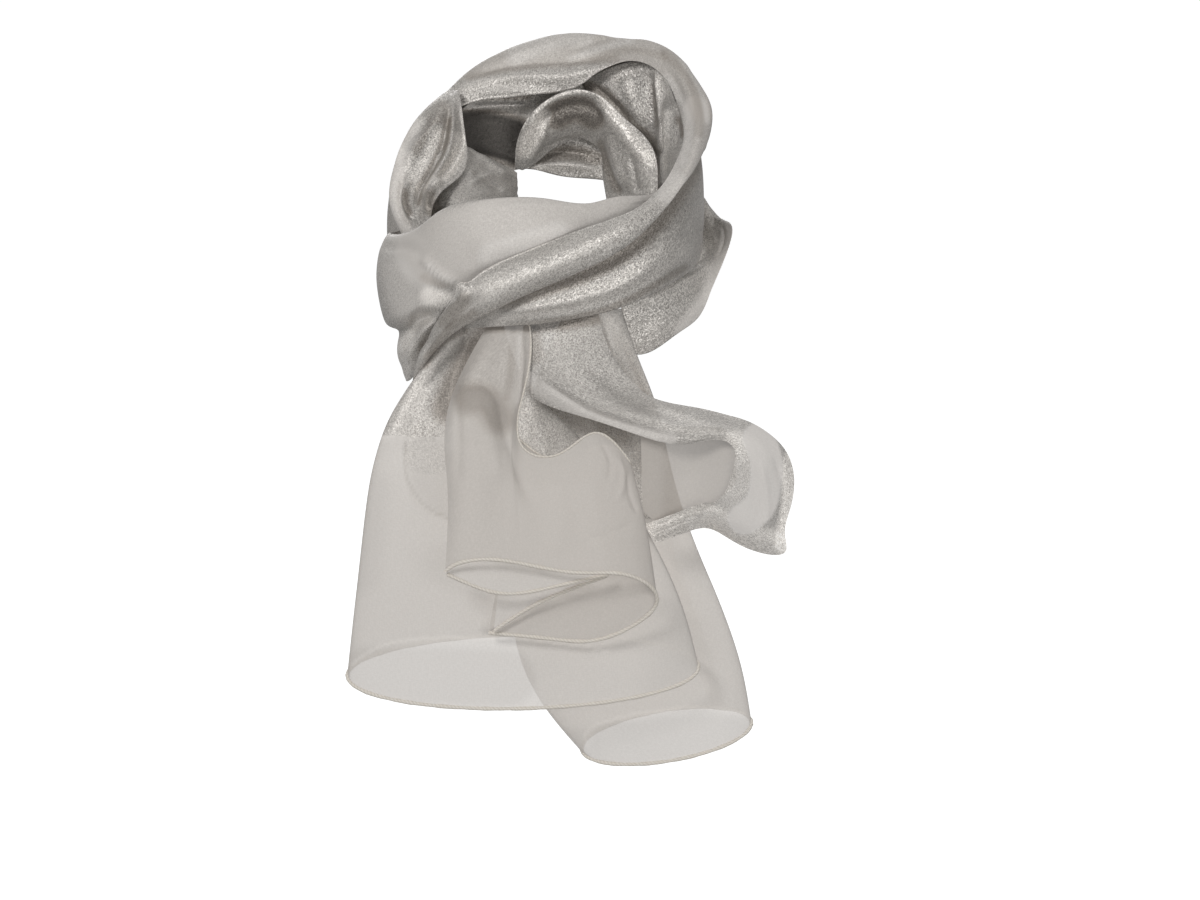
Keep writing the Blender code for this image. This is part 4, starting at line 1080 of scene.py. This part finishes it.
    # The flap is painted lighter, as painted light.
    flap_painted_light = [
        ([(6.2, -9.4), (8.8, -7.4), (10.9, -5.4)], 1.3, 1.3, 0.4),
        ([(10.6, -1.6), (11.0, -3.4)], 0.4, 0.6, 0.3),
    ]
    reliefs = [
        sum_of(grid, in_front, IN_FRONT),
        sum_of(grid, on_the_flap),
        sum_of(grid, behind, BEHIND),
        drape_noise(grid, 0.06, 7.0, 1.8, 3.0),
    ]
    # The pale upper turn is plainer cloth and also painted slightly darker.
    return sheet("cloth_outer_turn", grid, ["front_upper", "back_turn", "side_flap"], "shimmer_organza",
                 reliefs,
                 plain=0.75 * upper + 0.5 * bulge + 0.7 * strip,
                 painted_light=shading(grid, painted_light_zones, IN_FRONT) + shading(grid, flap_painted_light) - 0.06 * upper,
                 wall=RING_WALL)


def inner_turn():
    grid = band(INNER_BACK + FRONT_LOWER, 180, 60)
    behind = [
        ([(-6.3, 5.7), (-3.6, 5.9), (-1.0, 5.9)], (0.22, 0.22), 0.18),
        ([(-5.8, 5.2), (-3, 5.3), (-1.0, 5.2)], (0.25, 0.3), -0.15),
        ([(-1.6, 1.5), (1.0, 1.8), (3.6, 1.3)], (0.35, 0.4), 0.25),
        ([(-1.2, 2.4), (1.0, 2.7), (3.2, 2.3)], (0.3, 0.3), -0.2),
        ([(-5.7, 2.7), (-4.0, 2.2), (-2.3, 1.7)], (0.3, 0.3), 0.2),
    ]
    in_front = [
        ([(9.6, 1.0), (7.6, -2.2), (4.9, -4.5), (1.4, -6.0), (-2.1, -7.4)], (0.8, 0.6), -0.15),
        ([(8.8, -3.4), (5.8, -6.0), (3.15, -7.3), (-0.35, -8.1), (-4.0, -8.8)], (0.6, 0.35), 0.25),
        ([(8.6, -4.9), (5.6, -7.1), (2.6, -8.2)], (0.3, 0.3), -0.05),
        ([(9.9, -0.2), (9.3, -2.4), (7.4, -4.5)], (0.5, 0.5), 0.12),
    ]
    # Painted shade in the recess behind the neck, with painted highlight along a ridge and the low roll.
    recess = [
        ([(-6.5, 4.0), (-4.5, 3.9), (-2.6, 3.4)], 1.3, 0.8, -0.86),
        ([(-6.4, 6.5), (-4.0, 6.6), (-1.5, 6.6)], 0.15, 0.3, -0.4),
        ([(-6.2, 5.8), (-4.2, 5.85), (-2.4, 5.85)], 0.05, 0.2, 0.35),
        ([(-1.0, 2.2), (1.0, 2.6), (3.2, 2.3)], 0.3, 0.5, -0.35),
        ([(1.9, 3.9), (2.8, 3.6), (3.2, 2.9)], 0.2, 0.4, 0.1),
        ([(-1.4, 1.4), (1.0, 1.6), (3.4, 1.2)], 0.1, 0.25, 0.3),
    ]
    # Painted shadow under the roll's edge and painted highlight on the crest below it.
    below_the_roll = [
        ([(10.5, 2.2), (9.3, 0.3), (7.8, -2.0), (6.0, -3.8), (3.5, -5.4), (0.0, -6.9), (-3.0, -8.1)],
         0.2, 0.8, -0.35),
        ([(9.0, -4.2), (5.8, -6.2), (3.0, -7.4), (-0.4, -8.3), (-3.6, -9.0)], 0.35, 0.8, 0.25),
        ([(9.4, -5.4), (5.2, -7.8), (1.6, -8.9), (-3.0, -9.4)], 0.1, 0.3, -0.25),
    ]
    reliefs = [
        -sum_of(grid, behind, BEHIND),
        sum_of(grid, in_front, IN_FRONT),
        drape_noise(grid, 0.04, 6.0, 1.4, 5.0),
    ]
    return sheet("cloth_inner_turn", grid, ["inner_back", "front_lower"], "shimmer_organza",
                 reliefs,
                 painted_light=shading(grid, recess, BEHIND) + shading(grid, below_the_roll, IN_FRONT),
                 wall=RING_WALL)


def inner_arch():
    grid = band(INNER_ARCH, 130, 56, outward=TOWARDS_VIEWER)
    folds = [
        ([(-1.9, 2.6), (-1.35, 4.6), (-0.3, 6.0), (1.5, 6.75), (3.0, 6.75), (4.3, 5.8), (5.6, 4.0),
          (7.2, 2.2)],
         (0.35, 0.5), 0.25),
        ([(-0.6, 3.6), (0.2, 5.2), (1.6, 5.9), (3.0, 5.6), (3.7, 4.4)], (0.6, 0.7), -0.4),
        ([(-0.2, 5.0), (-0.6, 3.6), (-1.9, 1.9)], (0.3, 0.35), 0.2),
        ([(-1.8, 1.8), (0.3, 3.2), (1.6, 3.5), (3.1, 3.9)], (0.25, 0.3), -0.2),
        ([(3.1, 6.3), (4.4, 4.9), (5.8, 3.2), (7.0, 1.8)], (0.4, 0.5), 0.25),
        ([(3.3, 3.8), (3.8, 2.2), (4.4, 0.6), (5.2, -0.6)], (0.3, 0.35), -0.25),
        ([(4.0, 4.0), (4.5, 2.2), (5.0, 0.6)], (0.3, 0.35), 0.15),
        ([(5.6, 2.6), (5.9, 1.2), (6.2, -0.4)], (0.25, 0.3), -0.12),
    ]
    # Painted shade in the arch's hollow middle and in a crease, painted highlight on its left face, its
    # crest and its right leg.
    painted_light_zones = [
        ([(0.5, 5.2), (1.8, 5.7), (3.0, 5.2)], 0.5, 0.8, -0.6),
        ([(-1.7, 2.7), (-1.1, 4.0), (-0.4, 5.1)], 0.3, 0.5, 0.7),
        ([(-2.1, 4.4), (-1.0, 5.65), (0.5, 6.5), (2.2, 6.85), (3.5, 6.4), (4.4, 5.4)], 0.06, 0.25, 0.3),
        ([(3.6, 6.0), (4.6, 4.9), (6.0, 3.2), (7.0, 2.0)], 0.25, 0.45, 0.5),
        ([(3.5, 3.2), (4.0, 1.4), (4.7, 0.0)], 0.12, 0.35, -0.3),
        ([(4.6, 2.4), (5.0, 0.8)], 0.2, 0.4, 0.15),
        ([(4.0, -0.6), (6.0, -0.9)], 0.2, 0.5, 0.2),
    ]
    return sheet("cloth_inner_arch", grid, ["inner_arch"], "shimmer_organza",
                 [-sum_of(grid, folds), drape_noise(grid, 0.04, 4.0, 0.9, 6.0)],
                 painted_light=shading(grid, painted_light_zones), wall=RING_WALL)


def inner_right():
    grid = band(INNER_RIGHT, 110, 72, outward=TOWARDS_VIEWER)
    folds = [
        ([(7.4, 8.6), (7.65, 6.6), (7.9, 4.5), (7.7, 2.6)], (0.2, 0.3), 0.3, -0.3),
        ([(7.0, 8.4), (7.1, 6.2), (7.2, 4.0)], (0.35, 0.4), -0.25),
        ([(8.2, 6.4), (8.3, 4.6), (8.1, 2.4), (7.9, 0.2)], (0.25, 0.35), 0.3),
        ([(7.95, 5.2), (8.0, 3.6), (7.9, 2.2)], (0.15, 0.2), -0.3),
        ([(5.0, 8.0), (5.7, 6.4), (6.4, 4.6)], (0.6, 0.6), 0.2),
        ([(8.8, 6.2), (8.9, 4.4), (8.5, 2.4)], (0.2, 0.25), -0.25),
        ([(3.0, 7.4), (4.3, 6.2), (5.8, 4.6)], (0.3, 0.35), -0.2),
    ]
    # Painted highlight on the upright ridges and the glittering patch, painted shade beside them and the
    # painted shadow of the arch's crest.
    painted_light_zones = [
        ([(5.2, 7.2), (5.8, 6.2), (6.3, 5.2)], 0.5, 0.6, 0.15),
        ([(7.5, 8.2), (7.7, 6.3), (7.9, 4.5), (7.75, 3.0)], 0.08, 0.25, 0.4),
        ([(8.3, 5.3), (8.2, 3.8), (8.05, 2.4), (7.9, 0.7)], 0.12, 0.3, 0.45),
        ([(7.15, 8.0), (7.3, 6.2), (7.45, 4.6)], 0.12, 0.35, -0.25),
        ([(2.6, 7.3), (4.2, 6.5), (5.75, 4.75), (6.9, 3.6), (7.6, 2.8)], 0.12, 0.45, -0.45),
        ([(8.95, 5.0), (9.3, 3.9)], 0.1, 0.3, -0.4),
        ([(4.2, 8.6), (6.2, 8.7), (7.2, 8.3), (8.4, 7.2)], 0.4, 0.6, 0.35),
    ]
    return sheet("cloth_inner_right", grid, ["inner_right"], "shimmer_organza",
                 [-sum_of(grid, folds), drape_noise(grid, 0.04, 4.0, 1.0, 8.0)],
                 painted_light=shading(grid, painted_light_zones), wall=RING_WALL)


def nape_left():
    grid = band(NAPE_LEFT, 80, 56, outward=TOWARDS_VIEWER)
    folds = [
        ([(-5.2, 2.6), (-3.9, 1.6), (-2.6, 0.6)], (0.3, 0.3), 0.2),
        ([(-5.9, 0.2), (-4.3, 1.0), (-3.0, 0.9)], (0.25, 0.3), 0.2),
        ([(-5.6, 1.2), (-4.3, 0.6), (-3.2, -0.2)], (0.3, 0.3), -0.2),
    ]
    return sheet("cloth_nape_left", grid, ["nape_left"], "shimmer_organza",
                 [-sum_of(grid, folds), drape_noise(grid, 0.08, 2.5, 0.8, 9.0)], wall=RING_WALL)


def tail_left():
    grid = wrapped(TAIL_LEFT, 130, 220)
    near = nearer_side(grid)
    before = [
        ([(-7.3, -9.9), (-8.3, -13.0), (-9.6, -17.0), (-10.2, -20)], (0.5, 0.9), 0.15),
        ([(-5.4, -9.6), (-6.4, -12.4), (-7.4, -16.5)], (0.5, 0.9), -0.3),
        ([(-8.6, -10.5), (-10.0, -14.5), (-11.6, -19)], (0.4, 0.9), -0.1),
        ([(-3.6, -9.9), (-3.3, -15), (-2.0, -21)], (0.4, 1.2), 0.2),
        ([(-1.8, -11), (-0.8, -17), (1, -24)], (0.5, 1.4), -0.2),
    ]
    behind = [
        ([(-6.4, -10), (-8.6, -16), (-10, -24)], (0.5, 1.4), 0.3),
        ([(-4.5, -10), (-5.0, -18), (-4.6, -26)], (0.5, 1.5), -0.3),
        ([(-3, -11), (-0.5, -19), (2.4, -27)], (0.5, 1.5), 0.25),
    ]
    edge = below(grid, [-15, -7, -2, 3, 5, 11], [-17.1, -17.3, -18.9, -18.9, -17.2, -17.0])
    corner = zone(grid, [(-9.15, -17.6), (-9.1, -18.6), (-8.0, -18.8)], 1.0, 0.25)
    plain = 0.2 * (edge < 0) - 0.45 * near * corner
    inner_hem = [(-10.1, -17.6), (-10.15, -19.6), (-9.4, -21.3), (-8.0, -22.6), (-6.2, -23.1)]
    hem_behind = [(-13.9, -33.2), (-11.9, -31.95), (-8.8, -31.4), (-4.4, -31.3), (0.0, -31.6), (4.0, -32.3)]
    # Painted light on the near wall: broadly lighter in front, painted shade near the lower hem, the
    # painted shadows of the roll and the front column at the top, painted highlight on the shimmering
    # stripe and the left edge, and faint lines where hems lie behind.
    painted_light_zones = [
        ([(-3.6, -18.5), (-6.0, -21.0), (-8.0, -30.0)], 14.0, 3.0, 0.07),
        (hem_behind, 0.05, 0.12, 0.12),
        ([(-12.8, -34.0), (-8.0, -34.0), (-3.0, -34.2)], 1.6, 0.8, -0.12),
        (inner_hem, 0.04, 0.12, -0.15),
        ([(-8.6, -18.6), (-8.2, -20.0), (-7.0, -21.5)], 1.3, 0.3, -0.06),
        ([(-6.2, -9.7), (-7.7, -10.6), (-8.9, -12.1)], 0.2, 0.5, -0.55),
        ([(-3.9, -9.6), (-5.0, -11.2), (-6.2, -13.0), (-7.2, -15.2)], 0.4, 1.4, -0.5),
        ([(-7.6, -11.4), (-8.7, -13.5), (-9.9, -16.0)], 0.6, 1.2, 0.08),
        ([(-9.6, -13.4), (-11.0, -16.0), (-11.5, -17.0)], 0.3, 0.5, 0.15),
        ([(-12.4, -21.0), (-13.2, -27.0)], 0.5, 1.5, -0.06),
    ]
    reliefs = [near * sum_of(grid, before), (1 - near) * sum_of(grid, behind),
               drape_noise(grid, 0.04, 9.0, 2.6, 11.0)]
    # The far wall of the tube takes painted shade.
    return sheet("cloth_tail_left", grid, ["tail_left"], "sheer_organza",
                 reliefs, plain, cover_of(edge),
                 near * shading(grid, painted_light_zones) - FAR_WALL_PAINTED_SHADE * (1 - near), edge=edge)


def tail_back():
    grid = wrapped(TAIL_BACK, 140, 180)
    near = nearer_side(grid)
    before = [
        ([(2.2, -9), (2.6, -14), (4.0, -20), (5.5, -26)], (0.4, 1.2), 0.25),
        ([(3.8, -9.5), (5.2, -14.5), (6.6, -20.5)], (0.35, 0.9), -0.2),
        ([(4.6, -10), (6.6, -15), (8.4, -21.5), (10, -28)], (0.3, 1.0), 0.2),
    ]
    behind = [
        ([(1.2, -13), (1.5, -20), (3.5, -28), (6, -35)], (0.5, 1.5), 0.3),
        ([(3, -12), (4.5, -20), (7.5, -29)], (0.5, 1.3), -0.3),
        ([(5, -13), (7.4, -21), (10.6, -31)], (0.4, 1.3), 0.25),
    ]
    edge = below(grid, [-3, 15], [-22.6, -23.4])
    # Painted shade under the right end, painted highlight below the knot, broadly lighter lower down, a
    # faint line where the hem lies behind and painted shade near the hem.
    painted_light_zones = [
        ([(-1.0, -14.2), (0.6, -15.2), (2.4, -16.2), (4.8, -17.2)], 0.4, 1.0, -0.3),
        ([(3.4, -9.6), (5.2, -12.5), (6.8, -15.0)], 0.9, 0.9, 0.6),
        ([(6.0, -25.5), (10.0, -34.0)], 12.0, 1.0, 0.08),
        ([(2.4, -38.3), (3.6, -37.3), (7.6, -36.4), (10.7, -36.25), (13.6, -36.7)], 0.05, 0.12, 0.1),
        ([(4.4, -38.8), (9.0, -38.4), (12.6, -38.4)], 1.2, 0.7, -0.1),
    ]
    reliefs = [near * sum_of(grid, before), (1 - near) * sum_of(grid, behind),
               drape_noise(grid, 0.05, 9.0, 2.4, 12.0)]
    # The far wall of the tube takes painted shade.
    return sheet("cloth_tail_back", grid, ["tail_back"], "sheer_organza",
                 reliefs, 0.0, cover_of(edge),
                 near * shading(grid, painted_light_zones) - FAR_WALL_PAINTED_SHADE * (1 - near), edge=edge)


def tail_front():
    grid = through_sections(TAIL_FRONT, 110, 240)
    folds = [
        ([(-6.2, -13.9), (-4.8, -13.6), (-3.7, -14.6), (-3.2, -16.5), (-2.6, -18.6), (-1.8, -20.8),
          (-1.0, -22.8)],
         (0.3, 0.6), 0.2),
        ([(-5.4, -14.6), (-4.4, -16.4), (-3.9, -18.6), (-3.3, -21.0)], (0.6, 0.8), -0.2),
        ([(-6.6, -14.6), (-6.4, -17.5), (-6.6, -21)], (0.3, 0.5), 0.15),
        ([(-2.9, -9.4), (-3.4, -11.8), (-4.6, -13.6)], (0.8, 0.7), 0.15),
        ([(-2.0, -9.6), (-1.9, -12), (-2.3, -15.5)], (0.2, 0.2), -0.12),
        ([(3.4, -17.4), (4.2, -19.0), (4.0, -20.6)], (0.2, 0.25), 0.1),
        ([(4.6, -18.4), (5.2, -20.2), (4.6, -22.0)], (0.2, 0.25), -0.1),
        ([(5.4, -19.6), (5.6, -21.4), (6.2, -22.8)], (0.2, 0.2), 0.1),
        ([(2.2, -24.6), (4.2, -24.0), (6.2, -23.2)], (0.25, 0.3), 0.05),
        ([(0.4, -19.5), (0.8, -23), (0.4, -26)], (1.0, 1.0), -0.12),
    ]
    column = 1 - ramp(grid[..., 2], -14.6, -13.6)
    plain = 0.75 + 0.25 * column
    # Painted shade broadly over the lower face, in the hollow below the lip, under the roll at the top and
    # along the column's left edge, with a faint painted highlight on the left rim.
    painted_light_zones = [
        ([(-2.0, -18.0), (0.0, -24.0), (0.0, -30.0)], 9.0, 2.0, -0.13),
        ([(-5.6, -14.6), (-4.4, -14.9), (-3.6, -16.0)], 0.5, 1.2, -0.32),
        ([(-4.8, -9.5), (-1.2, -9.5)], 0.15, 0.5, -0.4),
        ([(-6.9, -15.0), (-7.1, -18.0)], 0.2, 0.4, 0.05),
        ([(-2.6, -9.6), (-2.7, -12.0), (-3.0, -14.5)], 0.1, 0.3, -0.12),
    ]
    reliefs = [sum_of(grid, folds, FRONT_WALL), drape_noise(grid, 0.03, 7.0, 1.6, 13.0)]
    return sheet("cloth_tail_front", grid, ["tail_front"], "sheer_organza",
                 reliefs, plain, FRONT_COVER + 0.08 * (1 - column),
                 shading(grid, painted_light_zones))


def tail_pleat():
    grid = through_sections(TAIL_PLEAT, 50, 150)
    return sheet("cloth_tail_pleat", grid, ["tail_pleat"], "sheer_organza",
                 [drape_noise(grid, 0.03, 5.0, 1.6, 14.0)], 1.0, PLAIN_COVER)


def tail_right():
    grid = band(TAIL_RIGHT, 230, 66, outward=TOWARDS_VIEWER)
    folds = [
        ([(1.5, -11.0), (3.6, -13.2), (7, -15.2), (11, -16.6)], (0.8, 0.7), 0.1),
        ([(3.2, -10.6), (5.6, -13.3), (9.4, -15.7), (12.5, -16.5)], (0.4, 0.4), -0.08),
        ([(4.2, -10.4), (6.9, -13.6), (11.0, -15.4), (14.0, -16.6)], (0.35, 0.35), 0.1),
        ([(-0.9, -13.0), (2.2, -15.2), (5.8, -16.6), (9.2, -17.4)], (0.3, 0.3), 0.14),
        ([(15.6, -18.4), (16.3, -21), (16.0, -24)], (0.3, 0.35), 0.12),
        ([(14.6, -18.6), (15.2, -21.5), (15.0, -24)], (0.3, 0.4), -0.12),
    ]
    under_edge = [(-1.6, -13.2), (-0.1, -14.2), (1.8, -15.3), (4.9, -16.6), (8.4, -17.4)]
    border = zone(grid, under_edge, 0.3, 0.4)
    bend = [(14.6, -17.4), (15.1, -18.8), (15.1, -20.8), (14.6, -22.2), (13.6, -23.0)]
    plain = zone(grid, bend, 0.95, 0.3)
    # Painted shadow at the top by the knot, painted highlight along the middle and on the bright curl at
    # the end.
    painted_light_zones = [
        ([(-1.3, -9.8), (-1.0, -11.6)], 0.2, 0.7, -0.25),
        ([(-1.6, -9.4), (1.5, -9.2), (4.6, -8.6)], 0.2, 0.6, -0.4),
        ([(8.0, -15.3), (11.6, -16.2), (13.6, -17.0)], 0.5, 1.0, 0.15),
        ([(13.0, -17.4), (13.6, -19.0), (13.2, -20.8), (12.0, -21.9)], 0.5, 0.5, 0.25),
        ([(16.9, -18.9), (16.8, -21.5), (16.3, -24.8)], 0.4, 0.4, 0.7),
        ([(16.0, -24.9), (13.4, -24.2), (10.6, -23.0), (7.6, -23.8)], 0.8, 0.5, 0.5),
    ]
    # The plain bend is painted a little darker.
    return sheet("cloth_tail_right", grid, ["tail_right"], "shimmer_organza",
                 [sum_of(grid, folds), drape_noise(grid, 0.04, 5.0, 1.1, 15.0)], plain + 0.6 * border,
                 0.95 - 0.08 * plain, shading(grid, painted_light_zones) * (1 - plain) - 0.1 * plain)


def tail_gutter():
    grid = band(TAIL_GUTTER, 80, 60, outward=TOWARDS_VIEWER)
    # Painted shade: the gutter inside the curl is painted darker all over, more so down its middle.
    painted_light_zones = [([(10.6, -16.5), (10.4, -22.5)], 2.0, 1.0, -0.1)]
    return sheet("cloth_tail_gutter", grid, ["tail_gutter"], "sheer_organza",
                 [drape_noise(grid, 0.05, 4.0, 1.2, 16.0)], 1.0, 0.88,
                 shading(grid, painted_light_zones) - 0.2)


def tail_inner():
    grid = band(TAIL_INNER, 80, 60, outward=TOWARDS_VIEWER)
    edge = below(grid, [-11, -2], [-19.7, -19.9])
    return sheet("cloth_tail_inner", grid, ["tail_inner"], "shimmer_organza",
                 [drape_noise(grid, 0.05, 5.0, 1.2, 17.0)], 0.0, cover_of(edge),
                 edge=edge)


studio()
collar()
collar_left()
outer_turn()
inner_turn()
inner_arch()
inner_right()
nape_left()
left = tail_left()
back = tail_back()
front = tail_front()
pleat = tail_pleat()
tail_right()
tail_gutter()
inner = tail_inner()
hem("hem_tail_left", left[-1])
hem("hem_tail_back", back[-1])
hem("hem_tail_front", front[-1])
hem("hem_front_rim", front[0], 0.075)
hem("hem_tail_pleat", pleat[-1], 0.12)
hem("hem_tail_inner", inner[:, -1], 0.08)
